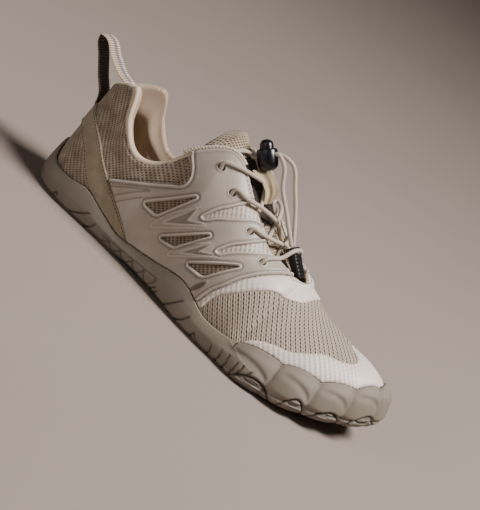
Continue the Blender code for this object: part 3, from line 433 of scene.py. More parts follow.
def settle(name, mesh, body, slot, *nodes):
    piece = bpy.data.objects.new(name, mesh)
    bpy.context.scene.collection.objects.link(piece)
    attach(piece, body)
    if nodes:
        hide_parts(*nodes)
    print("piece %s: %d triangles" % (name, sum(len(p.vertices) - 2 for p in mesh.polygons)))
    return piece


def makePiece(name, points, faces, materials, slot, *nodes, body=shoeBody, faceMaterial=None, uv=None,
              traits=None, weld=0.0):
    mesh = bpy.data.meshes.new(name)
    mesh.from_pydata(toMetres(points).tolist(), [], [tuple(map(int, f)) for f in faces])
    for material in materials:
        mesh.materials.append(material)
    if faceMaterial is not None:
        mesh.polygons.foreach_set("material_index", np.asarray(faceMaterial, np.int32))
    corners = np.empty(len(mesh.loops), np.int32)
    mesh.loops.foreach_get("vertex_index", corners)
    if uv is not None:
        layer = mesh.uv_layers.new(name="weave")
        values = uv[corners] if len(uv) == len(points) else uv
        layer.data.foreach_set("uv", np.asarray(values, np.float32).ravel())
    for key, values in (traits or {}).items():
        trait = mesh.attributes.new(key, "FLOAT", "POINT")
        trait.data.foreach_set("value", np.asarray(values, np.float32))
    shape = bmesh.new()
    shape.from_mesh(mesh)
    if weld:
        bmesh.ops.remove_doubles(shape, verts=shape.verts, dist=weld * mm)
        bmesh.ops.dissolve_degenerate(shape, edges=shape.edges, dist=1e-6)
    loose = [v for v in shape.verts if not v.link_faces]
    bmesh.ops.delete(shape, geom=loose, context="VERTS")
    bmesh.ops.recalc_face_normals(shape, faces=shape.faces)
    shape.to_mesh(mesh)
    shape.free()
    mesh.shade_smooth()
    return settle(name, mesh, body, slot, *nodes)


def shell(outer, inner, cells=None):
    # the cells of the outer face, the same ones turned for the inner face, and the border between
    if cells is None:
        cells = gridFaces(*outer.shape[:2])
    cells = [tuple(int(v) for v in cell) for cell in cells]
    edges = {(cell[i - 1], cell[i]) for cell in cells for i in range(len(cell))}
    border = sorted((a, b) for a, b in edges if (b, a) not in edges)
    count = outer.size // 3
    faces = cells + [tuple(v + count for v in reversed(cell)) for cell in cells]
    faces += [(b, a, a + count, b + count) for a, b in border]
    return np.concatenate([outer.reshape(-1, 3), inner.reshape(-1, 3)]), faces


def smoothPath(points, step):
    points = np.asarray(points, float)
    knots = runAlong(points)
    fine = np.linspace(0.0, knots[-1], 40 * len(points))
    curve = np.stack([hermite(knots, c, slopesOf(knots, c), fine) for c in points.T], -1)
    run = runAlong(curve)
    even = np.linspace(0.0, run[-1], max(3, round(run[-1] / step) + 1))
    return np.stack([np.interp(even, run, c) for c in curve.T], -1)


def tubeMesh(path, radius, sides, plies=0, lay=1.0, swell=0.0):
    # a round cord along a path with closed ends; with plies it swells like a laid rope
    tangent = unit(np.gradient(path, axis=0))
    normal = np.cross(tangent[0], (0.0, 0.0, 1.0))
    if np.linalg.norm(normal) < 1e-3:
        normal = np.cross(tangent[0], (0.0, 1.0, 0.0))
    angles = np.linspace(0.0, 2 * math.pi, sides + 1)
    run = runAlong(path)
    points, uv = [], []
    for place, along, t in zip(path, run, tangent):
        normal = normal - t * (normal @ t)
        normal /= np.linalg.norm(normal)
        binormal = np.cross(t, normal)
        for angle in angles:
            size = radius * (1.0 + swell * math.cos(plies * (angle - 2 * math.pi * along / lay)))
            points.append(place + size * (math.cos(angle) * normal + math.sin(angle) * binormal))
            uv.append((angle / (2 * math.pi), along))
    count = len(path)
    faces = [tuple(f) for f in gridFaces(count, sides + 1)]
    for ring, centre, turned in ((0, path[0], False), (count - 1, path[-1], True)):
        points.append(centre)
        uv.append((0.5, run[ring]))
        tip = len(points) - 1
        base = ring * (sides + 1)
        for i in range(sides):
            pair = (base + i + 1, base + i) if turned else (base + i, base + i + 1)
            faces.append((tip, *reversed(pair)))
    return np.array(points), faces, np.array(uv)


print("last and helpers ready")


# distances to polylines, for relief that is drawn as strokes
def strokeDistance(points, line, closed=False, widths=(1.0, 1.0)):
    # in widths of the stroke, which run from the first value to the last
    line = np.asarray(line, float)
    if closed:
        line = np.concatenate([line, line[:1]])
    run = runAlong(line)
    run /= run[-1]
    best = np.full(points.shape[:-1], 1e9)
    for a, b, start, end in zip(line[:-1], line[1:], run[:-1], run[1:]):
        d = b - a
        t = np.clip(((points - a) @ d) / max(d @ d, 1e-12), 0.0, 1.0)
        width = widths[0] + (widths[1] - widths[0]) * (start + (end - start) * t)
        best = np.minimum(best, np.linalg.norm(points - a - t[..., None] * d, axis=-1) / width)
    return best


def insideLoop(points, loop):
    loop = np.asarray(loop, float)
    inside = np.zeros(len(points), bool)
    for a, b in zip(loop, np.roll(loop, -1, axis=0)):
        crosses = (a[1] > points[:, 1]) != (b[1] > points[:, 1])
        rise = b[1] - a[1] if b[1] != a[1] else 1e-12
        inside ^= crosses & (points[:, 0] < (b[0] - a[0]) * (points[:, 1] - a[1]) / rise + a[0])
    return inside


def roundedLoop(corners, radius, step):
    # corners in flat millimetres; each one becomes a short curve
    corners = [np.asarray(c, float) for c in corners]
    loop = []
    for i, here in enumerate(corners):
        before, after = corners[i - 1] - here, corners[(i + 1) % len(corners)] - here
        lengths = np.linalg.norm(before), np.linalg.norm(after)
        cut = min(radius, 0.45 * lengths[0], 0.45 * lengths[1])
        start, end = here + before / lengths[0] * cut, here + after / lengths[1] * cut
        for t in np.linspace(0.0, 1.0, 7):
            loop.append((1 - t) ** 2 * start + 2 * t * (1 - t) * here + t**2 * end)
    loop = np.array(loop + [loop[0]])
    run = runAlong(loop)
    even = np.linspace(0.0, run[-1], max(8, round(run[-1] / step)) + 1)[:-1]
    return np.stack([np.interp(even, run, c) for c in loop.T], -1)


# materials; weave coordinates are millimetres on the cloth
looks = {
    # the rubber's cut colour is painted shade in its cuts, grooves and tread; its pale colour for raised
    # lines is a painted highlight on the parting line
    "rubber": {"light": "90867A", "dark": "7F7569", "cut": "2A241E", "worn": "CFC5B9", "mottle": 22.0,
               "grain": 0.5, "groove": "5C5248", "ripple": 1.9},
    "heelKnit": {"light": "B9AA99", "shade": "9A8B7B", "hole": "5F5247", "row": 1.5, "stitch": 2.9},
    # a darker copy of the heel knit: painted shade for the knit down in the cage's windows
    "windowKnit": {"light": "A09181", "shade": "7A6C5F", "hole": "40352C", "row": 1.5, "stitch": 2.9},
    "vampKnit": {"light": "B9AB9C", "mid": "87786B", "valley": "40352C", "rib": 2.85, "stitch": 2.3},
    "lining": {"light": "C4AC95", "dark": "AD967F", "rib": 0.75},
    "roll": {"light": "E6D2B9", "dark": "D6C1A6", "nap": 0.6},
    "film": {"light": "EDE1D9", "dark": "CFC2B8", "rib": 2.85, "row": 2.3},
    # a darker copy of the film: painted shade for the film down in the cage's slots
    "slotFilm": {"light": "C9BDB2", "dark": "978A7F", "rib": 2.85, "row": 2.3},
    # the cage's cut colour is painted shade in its grooves, pockets and slit; its pale colour for raised
    # lines is a painted highlight on beads, rims and ridges
    "cage": {"light": "BDB2A8", "dark": "A89C91", "cut": "4A3F36", "worn": "DDD4CA", "mottle": 22.2222},
    "nubuck": {"light": "AA9B86", "dark": "938471", "nap": 0.7},
    "keeper": {"light": "DCC6A2", "dark": "C3AB84", "nap": 0.7},
    "cord": {"light": "D6CABB", "dark": "8F8172", "braid": 1.5},
    # the inside colour is painted shade on the pull loop's inner face
    "webbing": {"cream": "D3C1AB", "lilac": "978C96", "white": "DFD2C3", "inside": "6E5F53",
                "valley": "B4A594", "rib": 1.6},
    "tongueKnit": {"light": "C6B5A0", "shade": "9B8A76", "hole": "463A30", "row": 1.7, "stitch": 1.45},
    "darkKnit": {"light": "3E332B", "shade": "2C231C", "hole": "15100C", "row": 1.7, "stitch": 1.45},
    "wave": 0.31416,  # a wave texture of scale 1 repeats after this length
}


def mouldedBody(tree, place, look):
    # mottled stock, with a painted highlight on its raised lines and painted shade in its cuts, grooves and
    # pockets
    mottle = addNode(tree, "ShaderNodeTexNoise", {"Scale": 1000 / look["mottle"], "Detail": 4.0},
                     {"Vector": place})
    colour = addNode(tree, "ShaderNodeValToRGB", {"stops": ((0.3, look["dark"]), (0.7, look["light"]))},
                     {"Fac": mottle})
    # painted highlight first, then painted shade, each mixed in by its point trait
    for key in ("worn", "cut"):
        share = addNode(tree, "ShaderNodeAttribute", {"attribute_name": key})
        colour = addNode(tree, "ShaderNodeMix", {"data_type": "RGBA", 7: linearColour(look[key])},
                         {0: share, 6: colour}).outputs[2]
    return colour


def mouldedRubber():
    # rubber out of a sandblasted mould: dull and even, painted shade in its cuts, a painted highlight on its
    # raised parting line
    look = looks["rubber"]
    material, tree, shader, place = startMaterial("mouldedRubber", {"Roughness": 0.7, "IOR": 1.52})
    mixed = mouldedBody(tree, place, look)
    tread = addNode(tree, "ShaderNodeAttribute", {"attribute_name": "tread"})
    wavy = {"bands_direction": "Z", "Distortion": 2.5, "Detail": 0.0, "Detail Scale": 1.5}
    ripple = addNode(tree, "ShaderNodeTexWave", {"Scale": 1000 * looks["wave"] / look["ripple"], **wavy},
                     {"Vector": place})
    lines = addNode(tree, "ShaderNodeMath", {"operation": "MULTIPLY"}, {0: ripple, 1: tread})
    rippled = addNode(tree, "ShaderNodeMix", {"data_type": "RGBA", 7: linearColour(look["groove"])},
                      {0: lines, 6: mixed})
    grain = addNode(tree, "ShaderNodeTexNoise", {"Scale": 1000 / look["grain"], "Detail": 2.0},
                    {"Vector": place})
    cuts = addNode(tree, "ShaderNodeBump", {"Strength": 0.5, "Distance": 0.0004, "invert": True},
                   {"Height": lines})
    bump = addNode(tree, "ShaderNodeBump", {"Strength": 0.15, "Distance": 0.0002},
                   {"Height": grain, "Normal": cuts})
    return wire(material, tree, shader, rippled.outputs[2], bump)


def openKnit(name, look):
    # open warp knit: a pale matt net of loops, dark in the small holes between them
    material, tree, shader, place = startMaterial(name, {"Roughness": 0.9, "Sheen Weight": 0.15}, "weave")
    wavy = {"Distortion": 1.3, "Detail": 1.0, "Detail Scale": 0.3}
    across = addNode(tree, "ShaderNodeTexWave", {"Scale": looks["wave"] / look["stitch"], **wavy},
                     {"Vector": place})
    rows = addNode(tree, "ShaderNodeTexWave",
                   {"bands_direction": "Y", "Scale": looks["wave"] / look["row"], **wavy}, {"Vector": place})
    hole = addNode(tree, "ShaderNodeMath", {"operation": "MULTIPLY"}, {0: across, 1: rows})
    yarn = addNode(tree, "ShaderNodeValToRGB",
                   {"stops": ((0.1, look["light"]), (0.48, look["shade"]), (0.9, look["hole"]))},
                   {"Fac": hole})
    soil = addNode(tree, "ShaderNodeTexNoise", {"Scale": 0.12, "Detail": 3.0}, {"Vector": place})
    tone = addNode(tree, "ShaderNodeValToRGB", {"stops": ((0.3, "C8BFB4"), (0.7, "FFFFFF"))}, {"Fac": soil})
    mixed = addNode(tree, "ShaderNodeMix", {"data_type": "RGBA", "blend_type": "MULTIPLY", 0: 1.0},
                    {6: yarn, 7: tone})
    bump = addNode(tree, "ShaderNodeBump", {"Strength": 0.7, "Distance": 0.0006, "invert": True},
                   {"Height": hole})
    return wire(material, tree, shader, mixed.outputs[2], bump)


def ribbedKnit(name, look):
    # warp knit with two chains a rib: pale and matt, with dark dots in staggered columns
    material, tree, shader, place = startMaterial(name, {"Roughness": 0.85, "Sheen Weight": 0.15}, "weave")
    rib = addNode(tree, "ShaderNodeTexWave", {"Scale": looks["wave"] / look["rib"]}, {"Vector": place})
    twin = addNode(tree, "ShaderNodeTexWave", {"Scale": 2 * looks["wave"] / look["rib"]}, {"Vector": place})
    bow = addNode(tree, "ShaderNodeMath", {"operation": "MULTIPLY", 1: math.pi}, {0: rib})
    knot = addNode(tree, "ShaderNodeTexWave",
                   {"bands_direction": "Y", "Scale": looks["wave"] / look["stitch"]},
                   {"Vector": place, "Phase Offset": bow})
    line = addNode(tree, "ShaderNodeMath", {"operation": "SUBTRACT", 0: 1.0}, {1: twin})
    dots = addNode(tree, "ShaderNodeMath", {"operation": "MULTIPLY_ADD", 1: 0.65, 2: 0.35}, {0: knot})
    hole = addNode(tree, "ShaderNodeMath", {"operation": "MULTIPLY"}, {0: line, 1: dots})
    fade = addNode(tree, "ShaderNodeMath", {"operation": "MULTIPLY_ADD", 1: -0.62, 2: 1.0}, {0: rib})
    depth = addNode(tree, "ShaderNodeMath", {"operation": "MULTIPLY"}, {0: hole, 1: fade})
    tone = addNode(tree, "ShaderNodeValToRGB",
                   {"stops": ((0.12, look["light"]), (0.4, look["mid"]), (0.85, look["valley"]))},
                   {"Fac": depth})
    bump = addNode(tree, "ShaderNodeBump", {"Strength": 0.8, "Distance": 0.0009, "invert": True},
                   {"Height": depth})
    return wire(material, tree, shader, tone, bump)


def brushedLining():
    # fine ribbed lining cloth, brushed: tan, very matt, soft edge light
    look = looks["lining"]
    material, tree, shader, place = startMaterial(
        "brushedLining", {"Roughness": 0.95, "Sheen Weight": 0.3}, "weave")
    rib = addNode(tree, "ShaderNodeTexWave",
                  {"bands_direction": "DIAGONAL", "Scale": looks["wave"] / look["rib"], "Distortion": 0.6},
                  {"Vector": place})
    tone = addNode(tree, "ShaderNodeValToRGB", {"stops": ((0.0, look["dark"]), (0.6, look["light"]))},
                   {"Fac": rib})
    bump = addNode(tree, "ShaderNodeBump", {"Strength": 0.4, "Distance": 0.0003}, {"Height": rib})
    return wire(material, tree, shader, tone, bump)


def fusedFilm(name, look):
    # thin urethane film fused over the knit: satin, ribs and stitch rows show through faintly
    material, tree, shader, place = startMaterial(name, {"Roughness": 0.45, "IOR": 1.5}, "weave")
    rib = addNode(tree, "ShaderNodeTexWave", {"Scale": looks["wave"] / look["rib"]}, {"Vector": place})
    row = addNode(tree, "ShaderNodeTexWave", {"bands_direction": "Y", "Scale": looks["wave"] / look["row"]},
                  {"Vector": place})
    both = addNode(tree, "ShaderNodeMath", {"operation": "MULTIPLY_ADD", 1: 0.45}, {0: row, 2: rib})
    share = addNode(tree, "ShaderNodeAttribute", {"attribute_name": "rib"})
    shown = addNode(tree, "ShaderNodeMath", {"operation": "MULTIPLY"}, {0: both, 1: share})
    tone = addNode(tree, "ShaderNodeValToRGB", {"stops": ((0.5, look["light"]), (1.0, look["dark"]))},
                   {"Fac": shown})
    bump = addNode(tree, "ShaderNodeBump", {"Strength": 0.22, "Distance": 0.0005, "invert": True},
                   {"Height": shown})
    return wire(material, tree, shader, tone, bump)


def mouldedCage():
    # moulded urethane with a satin skin: beads catch the light; a painted highlight on beads, rims and
    # ridges, painted shade in grooves and pockets
    look = looks["cage"]
    material, tree, shader, place = startMaterial("mouldedUrethane", {"Roughness": 0.42, "IOR": 1.5})
    return wire(material, tree, shader, mouldedBody(tree, place, look))


def nubuck(name, look):
    # leather with a sanded face: matt and slightly blotchy, a short nap that catches side light
    material, tree, shader, place = startMaterial(name, {"Roughness": 0.92, "Sheen Weight": 0.35})
    blotch = addNode(tree, "ShaderNodeTexNoise", {"Scale": 140.0, "Detail": 5.0}, {"Vector": place})
    body = addNode(tree, "ShaderNodeValToRGB", {"stops": ((0.3, look["dark"]), (0.7, look["light"]))},
                   {"Fac": blotch})
    nap = addNode(tree, "ShaderNodeTexNoise", {"Scale": 1000 / look["nap"], "Detail": 3.0},
                  {"Vector": place})
    bump = addNode(tree, "ShaderNodeBump", {"Strength": 0.4, "Distance": 0.0003}, {"Height": nap})
    return wire(material, tree, shader, body, bump)


def braidedCord():
    # elastic cord in a braided sleeve: small diamonds, a slight shine on each strand
    look = looks["cord"]
    material, tree, shader, place = startMaterial(
        "braidedElastic", {"Roughness": 0.65, "Sheen Weight": 0.1}, "weave")
    waves = []
    for turns in (6.0, -6.0):
        spun = addNode(tree, "ShaderNodeMapping", {"Scale": (turns * look["braid"], 1.0, 1.0)},
                       {"Vector": place})
        waves.append(addNode(tree, "ShaderNodeTexWave",
                             {"bands_direction": "DIAGONAL", "Scale": 2 * looks["wave"] / look["braid"]},
                             {"Vector": spun}))
    height = addNode(tree, "ShaderNodeMath", {"operation": "MAXIMUM"}, {0: waves[0], 1: waves[1]})
    tone = addNode(tree, "ShaderNodeValToRGB", {"stops": ((0.25, look["dark"]), (0.8, look["light"]))},
                   {"Fac": height})
    bump = addNode(tree, "ShaderNodeBump", {"Strength": 0.6, "Distance": 0.0003}, {"Height": height})
    return wire(material, tree, shader, tone, bump)


def wovenWebbing():
    # narrow-loom tape with coloured warp stripes and an inside face painted dark as painted shade; its ribs
    # are drawn coarser than they are on such tape, so that they show
    look = looks["webbing"]
    material, tree, shader, place = startMaterial(
        "wovenWebbing", {"Roughness": 0.85, "Sheen Weight": 0.2}, "weave")
    across = addNode(tree, "ShaderNodeSeparateXYZ", links={"Vector": place}).outputs["X"]
    stripes = addNode(tree, "ShaderNodeValToRGB",
                      {"stops": ((0.0, look["cream"]), (0.40, look["lilac"]), (0.68, look["white"]))},
                      {"Fac": across})
    stripes.color_ramp.interpolation = "CONSTANT"
    # the inside face is painted dark: painted shade on the loop's inner side
    inside = addNode(tree, "ShaderNodeAttribute", {"attribute_name": "inside"})
    mixed = addNode(tree, "ShaderNodeMix", {"data_type": "RGBA", 7: linearColour(look["inside"])},
                    {0: inside, 6: stripes})
    rib = addNode(tree, "ShaderNodeTexWave",
                  {"bands_direction": "Y", "Scale": looks["wave"] / look["rib"]}, {"Vector": place})
    shade = addNode(tree, "ShaderNodeValToRGB", {"stops": ((0.2, look["valley"]), (0.8, "FFFFFF"))},
                    {"Fac": rib})
    ribbed = addNode(tree, "ShaderNodeMix", {"data_type": "RGBA", "blend_type": "MULTIPLY", 0: 1.0},
                     {6: mixed.outputs[2], 7: shade})
    bump = addNode(tree, "ShaderNodeBump", {"Strength": 0.6, "Distance": 0.0004}, {"Height": rib})
    return wire(material, tree, shader, ribbed.outputs[2], bump)


def hardPlastic(name, colour, roughness):
    # injection moulded plastic: near black, its gloss set by the mould's polish
    material, tree, shader, place = startMaterial(name, {"Roughness": roughness, "IOR": 1.5})
    grain = addNode(tree, "ShaderNodeTexNoise", {"Scale": 900.0, "Detail": 2.0}, {"Vector": place})
    bump = addNode(tree, "ShaderNodeBump", {"Strength": 0.05, "Distance": 0.0001}, {"Height": grain})
    shader.inputs["Base Color"].default_value = linearColour(colour)
    return wire(material, tree, shader, bump=bump)


def spunThread(name, light, dark, pitch):
    # twisted sewing thread or cord: matt, with the lines of its twist
    material, tree, shader, place = startMaterial(name, {"Roughness": 0.8, "Sheen Weight": 0.1})
    twist = addNode(tree, "ShaderNodeTexWave",
                    {"bands_direction": "DIAGONAL", "Scale": 2000 * looks["wave"] / pitch}, {"Vector": place})
    tone = addNode(tree, "ShaderNodeValToRGB", {"stops": ((0.1, dark), (0.7, light))}, {"Fac": twist})
    bump = addNode(tree, "ShaderNodeBump", {"Strength": 0.4, "Distance": 0.0003}, {"Height": twist})
    return wire(material, tree, shader, tone, bump)


rubber = mouldedRubber()
heelKnit = openKnit("openWarpKnit", looks["heelKnit"])
# the knit in the cage's windows: a darker copy, painted shade down in the windows
windowKnit = openKnit("openWarpKnitPaintedShade", looks["windowKnit"])
tongueKnit = openKnit("paddedTongueKnit", looks["tongueKnit"])
# dark knit for the tongue's panel, and painted shade down the eyelet holes of the upper
darkKnit = openKnit("darkWarpKnit", looks["darkKnit"])
vampKnit = ribbedKnit("chainRibKnit", looks["vampKnit"])
lining = brushedLining()
rollCloth = nubuck("brushedCollarCloth", looks["roll"])
film = fusedFilm("fusedFilm", looks["film"])
# the film in the cage's slots: a darker copy, painted shade down in the slots
slotFilm = fusedFilm("fusedFilmInSlots", looks["slotFilm"])
cageUrethane = mouldedCage()
strapNubuck = nubuck("sandedNubuck", looks["nubuck"])
keeperNubuck = nubuck("paleSandedNubuck", looks["keeper"])
cordSleeve = braidedCord()
webbing = wovenWebbing()
lockPlastic = hardPlastic("polishedNylon", "14151B", 0.25)
clipPlastic = hardPlastic("sparkedNylon", "0E0E10", 0.5)
threadDark = spunThread("darkSpunThread", "4A3D32", "2E251D", 0.8)
threadPale = spunThread("paleSpunThread", "E2D8CB", "B5A796", 0.8)
pipingCord = spunThread("cordedPiping", "E2D6C7", "C2B4A3", 1.6)
insoleCloth = nubuck("brushedSockCloth", {"light": "A3937C", "dark": "87775F", "nap": 0.8})
print("materials ready")


# lace: crossings over the tongue, a bar below, and two free ends through the lock to the clip
tongueShape = {
    "x": (90.0, 98.6, 106.0, 113.0, 124.0, 140.0, 160.0, 176.0, 188.0),
    "z": (105.4, 110.2, 105.2, 100.4, 93.2, 82.6, 68.0, 60.0, 56.8),
    "half": (17.0, 16.4, 16.4, 17.6, 19.6, 20.5, 19.0, 13.0, 9.0),
    "drop": (8.5, 12.4, 12.0, 12.4, 12.0, 9.4, 6.4, 3.4, 1.6),
    "thick": (4.0, 6.0, 5.6, 4.6, 3.4, 3.0, 2.6, 2.2, 2.0),
    "midFrom": 0.5, "midTo": 4.0, "edge": 0.6,
}
eyelets = {"top": (0.402, 0.830), "high": (0.449, 0.800), "low": (0.525, 0.822), "base": (0.587, 0.795)}
eyeletRadius = 1.9
cageShape = {"gap": 0.5, "thick": 1.3, "inner": 0.25, "edge": 0.25}
lace = {
    "diameter": 2.8, "clearance": 0.15, "step": 0.8, "sides": 14, "edgeShare": 0.58, "under": 5.5,
    "stack": 0.9, "tail": 5.0, "tailIn": 0.6, "eyeSink": 0.6, "eyeRise": 0.5,
    "crossings": {"top": ("top", 131.0, 140.0), "mid": ("high", 150.4, 156.6), "low": ("low", 163.0, 168.4)},
    "barTop": ((173.2, -5.6, 73.4), (173.2, 8.6, 73.4)),
}
freeEnds = {
    "lockCentre": (120.0, 0.0, 108.0), "lockTilt": -44.0, "lockReach": 8.5, "spacing": 3.6, "leads": 3,
    "lateral": ((103.4, -16.4, 96.9), (105.6, -12.2, 100.2), (110.4, -4.8, 103.0), (133.0, -1.7, 111.0),
                (141.4, -1.4, 99.0), (152.0, -0.8, 89.4), (161.6, -0.8, 80.6), (168.8, -0.2, 74.0)),
    "medial": ((103.4, 17.4, 97.6), (105.6, 13.2, 100.8), (110.4, 5.6, 103.0), (136.0, 2.6, 114.0),
               (147.0, 3.6, 102.4), (156.2, 4.2, 91.0), (163.4, 3.6, 81.4), (168.8, 3.2, 74.0)),
}


def tongueSize(key, x):
    return smoothThrough(tongueShape["x"], tongueShape[key], x)


def tongueLine(x):
    x = np.asarray(x, float)
    z = tongueSize("z", x)
    inner = np.clip(x, tongueShape["x"][0] + 0.05, tongueShape["x"][-1] - 0.05)
    rise = (tongueSize("z", inner + 0.05) - tongueSize("z", inner - 0.05)) / 0.1
    size = np.hypot(rise, 1.0)
    middle = np.interp(x, (tongueShape["x"][0], tongueShape["x"][-1]),
                       (tongueShape["midFrom"], tongueShape["midTo"]))
    return np.stack([x, middle, z], -1), np.stack([-rise / size, np.zeros_like(x), 1.0 / size], -1)


def tonguePoint(x, y, lift):
    crown, normal = tongueLine(np.array([x]))
    v = (y - crown[0, 1]) / float(tongueSize("half", x))
    return np.array([crown[0, 0], y, crown[0, 2]]) + normal[0] * (lift - float(tongueSize("drop", x)) * v**2)


def throatEdge(x, side):
    throat = np.linspace(0.3, throatBase, 200)
    along = np.interp(x, topEdge(throat)[:, 0], throat)
    return along, topEdge(np.array([along if side < 0 else 2.0 - along]))[0]


def outOfEyelet(name, side, towardX):
    # up through the hole, over its rim and on over the throat's edge
    clear = cageShape["gap"] + cageShape["thick"] + lace["diameter"] / 2 + lace["clearance"]
    along, up = eyelets[name]
    ring = np.array([along if side < 0 else 2.0 - along])
    eye = offsetSkin(ring, np.array([up]), clear)[0]
    edgeAlong, _ = throatEdge(eye[0] + lace["edgeShare"] * (towardX - eye[0]), side)
    places = np.array([along, along, (along + edgeAlong) / 2, edgeAlong])
    ups = np.array([up - 0.02, up + 0.03, (1.0 + up) / 2, 1.0])
    rings = places if side < 0 else 2.0 - places
    lifts = np.array([-lace["eyeSink"], clear - lace["eyeRise"], clear, clear])
    return list(offsetSkin(rings, ups, lifts))


def makeLaces():
    radius = lace["diameter"] / 2
    for label, (eyelet, crossX, underX) in lace["crossings"].items():
        parts, faces, uv = [], [], []
        for side in (-1, 1):
            crown, normal = tongueLine(np.array([crossX]))
            over = lace["stack"] * lace["diameter"] if side < 0 else 0.0
            centre = crown[0] + normal[0] * (radius + lace["clearance"] + over)
            _, edge = throatEdge(underX, -side)
            end = tonguePoint(underX, edge[1] + side * lace["under"], radius + lace["clearance"])
            tailX = underX + lace["tail"]
            _, edge = throatEdge(tailX, -side)
            tail = tonguePoint(tailX, edge[1] - side * lace["tailIn"], radius + lace["clearance"])
            route = smoothPath(outOfEyelet(eyelet, side, crossX) + [centre, end, tail], lace["step"])
            points, cells, place = tubeMesh(route, radius, lace["sides"])
            faces += [tuple(v + sum(map(len, parts)) for v in cell) for cell in cells]
            parts.append(points)
            uv.append(place)
        makePiece("laceCrossing" + label.title(), np.concatenate(parts), faces, [cordSleeve],
                  "lace", "lace_crossing_" + label, uv=np.concatenate(uv))
    top = [np.array(point) for point in lace["barTop"]]
    bar = outOfEyelet("base", -1, top[0][0]) + top + outOfEyelet("base", 1, top[1][0])[::-1]
    points, cells, place = tubeMesh(smoothPath(bar, lace["step"]), radius, lace["sides"])
    makePiece("laceBar", points, cells, [cordSleeve], "lace", "lace_bar", uv=place)


def lockTurn():
    return np.array(Matrix.Rotation(math.radians(freeEnds["lockTilt"]), 3, "Y"))


def makeFreeEnds():
    through = lockTurn()[:, 0]
    made = []
    for label, side in (("lateral", -1), ("medial", 1)):
        route = [np.array(point) for point in freeEnds[label]]
        centre = np.array(freeEnds["lockCentre"]) + np.array([0.0, side * freeEnds["spacing"] / 2, 0.0])
        held = [centre + through * reach for reach in (-freeEnds["lockReach"], 0.0, freeEnds["lockReach"])]
        path = smoothPath(route[:freeEnds["leads"]] + held + route[freeEnds["leads"]:], lace["step"])
        points, cells, place = tubeMesh(path, lace["diameter"] / 2, lace["sides"])
        made.append((makePiece("laceEnd" + label.title(), points, cells, [cordSleeve], "lace",
                               "lace_end_" + label, uv=place), path))
    return made


makeLaces()
looseEnds = makeFreeEnds()
print("laces ready")


# lock: barrel and button turned about one axis; clip: tapered block with grip ribs
lock = {
    "barrel": ((0.0, -7.0), (4.8, -7.0), (4.8, 4.0), (5.2, 4.5), (5.9, 4.6), (6.5, 4.2), (6.7, 3.4),
               (6.9, 0.0), (6.8, -4.0), (6.5, -6.0), (5.9, -7.4), (4.8, -8.5), (3.4, -9.2), (1.6, -9.5),
               (0.0, -9.6)),
    "button": ((0.0, 10.8), (1.2, 10.7), (2.2, 10.4), (3.0, 10.0), (3.7, 9.3), (4.2, 8.5), (4.4, 7.8),
               (4.5, 6.2), (4.5, -3.7), (0.0, -3.7)),
    "sides": 40, "sharp": 50.0,
}
clipShape = {
    "centre": (177.5, 1.5, 67.3), "tilt": 38.0, "size": (20.0, 12.5, 6.6), "taper": 0.8, "round": 1.4,
    "seat": -7.0, "seatWidth": 1.9, "seatDepth": 3.1, "ribFrom": -3.6, "ribPitch": 2.4, "ribs": 5,
    "ribDepth": 0.8, "columns": 90, "around": 44, "sharp": 35.0, "square": 5, "endDraw": 0.25,
}


def lathe(profile, sides):
    angles = np.linspace(0.0, 2 * math.pi, sides + 1)
    profile = np.array(profile)
    rings = np.stack([np.outer(np.cos(angles), profile[:, 0]), np.outer(np.sin(angles), profile[:, 0]),
                      np.broadcast_to(profile[:, 1], (sides + 1, len(profile)))], -1)
    return rings.reshape(-1, 3), gridFaces(sides + 1, len(profile))


def makeLock():
    turn, centre = lockTurn(), np.array(freeEnds["lockCentre"])
    pieces = (("lockBarrel", "barrel", shoeBody, "lock_barrel"),
              ("lockButton", "button", buttonBody, "lock_button"))
    for name, key, body, node in pieces:
        points, faces = lathe(lock[key], lock["sides"])
        piece = makePiece(name, points @ turn.T + centre, faces, [lockPlastic], "lock", node, body=body,
                          weld=0.01)
        piece.data.set_sharp_from_angle(angle=math.radians(lock["sharp"]))


def makeClip():
    # rings of a rounded rectangle along the clip, cut on the outer face only
    turn = np.array(Matrix.Rotation(math.radians(clipShape["tilt"]), 3, "Y"))
    length, width, height = clipShape["size"]
    x = np.linspace(-length / 2, length / 2, clipShape["columns"] + 1)
    share = 1.0 + (clipShape["taper"] - 1.0) * (x / length + 0.5)
    ends = roundEdge(length / 2 - np.abs(x), clipShape["round"])
    ends = 1.0 - clipShape["endDraw"] * (1.0 - ends)
    angle = np.linspace(0.0, 2 * math.pi, clipShape["around"] + 1)[:-1]
    square = clipShape["square"]
    size = (np.abs(np.cos(angle)) ** square + np.abs(np.sin(angle)) ** square) ** (1.0 / square)
    across, upward = np.cos(angle) / size, np.sin(angle) / size
    seat = np.abs(x - clipShape["seat"]) / clipShape["seatWidth"]
    cut = clipShape["seatDepth"] * (1.0 - smoothStep(0.7, 1.0, seat))
    grip = (x - clipShape["ribFrom"]) / clipShape["ribPitch"]
    valley = smoothStep(0.25, 0.5, np.abs(np.mod(grip, 1.0) - 0.5))
    ribbed = (x > clipShape["ribFrom"]) & (grip < clipShape["ribs"])
    cut = np.maximum(cut, np.where(ribbed, clipShape["ribDepth"] * valley, 0.0))
    y = np.outer(share * ends * width / 2, across)
    top = (share * ends * height / 2)[:, None]
    z = np.minimum(top * upward, np.maximum(top - cut[:, None], 0.1))
    points = np.stack([np.broadcast_to(x[:, None], y.shape), y, z], -1)
    columns, rows = y.shape
    points = np.concatenate([points, points[:, :1]], 1)
    faces = [tuple(f) for f in gridFaces(columns, rows + 1)]
    faces += [tuple(range(rows)), tuple(range((columns - 1) * (rows + 1), columns * (rows + 1) - 1))]
    points = points.reshape(-1, 3) @ turn.T + np.array(clipShape["centre"])
    piece = makePiece("laceClip", points, faces, [clipPlastic], "clip", "lace_clip", weld=0.004)
    piece.data.set_sharp_from_angle(angle=math.radians(clipShape["sharp"]))
    return piece


makeLock()
clip = makeClip()
print("lock and clip ready")


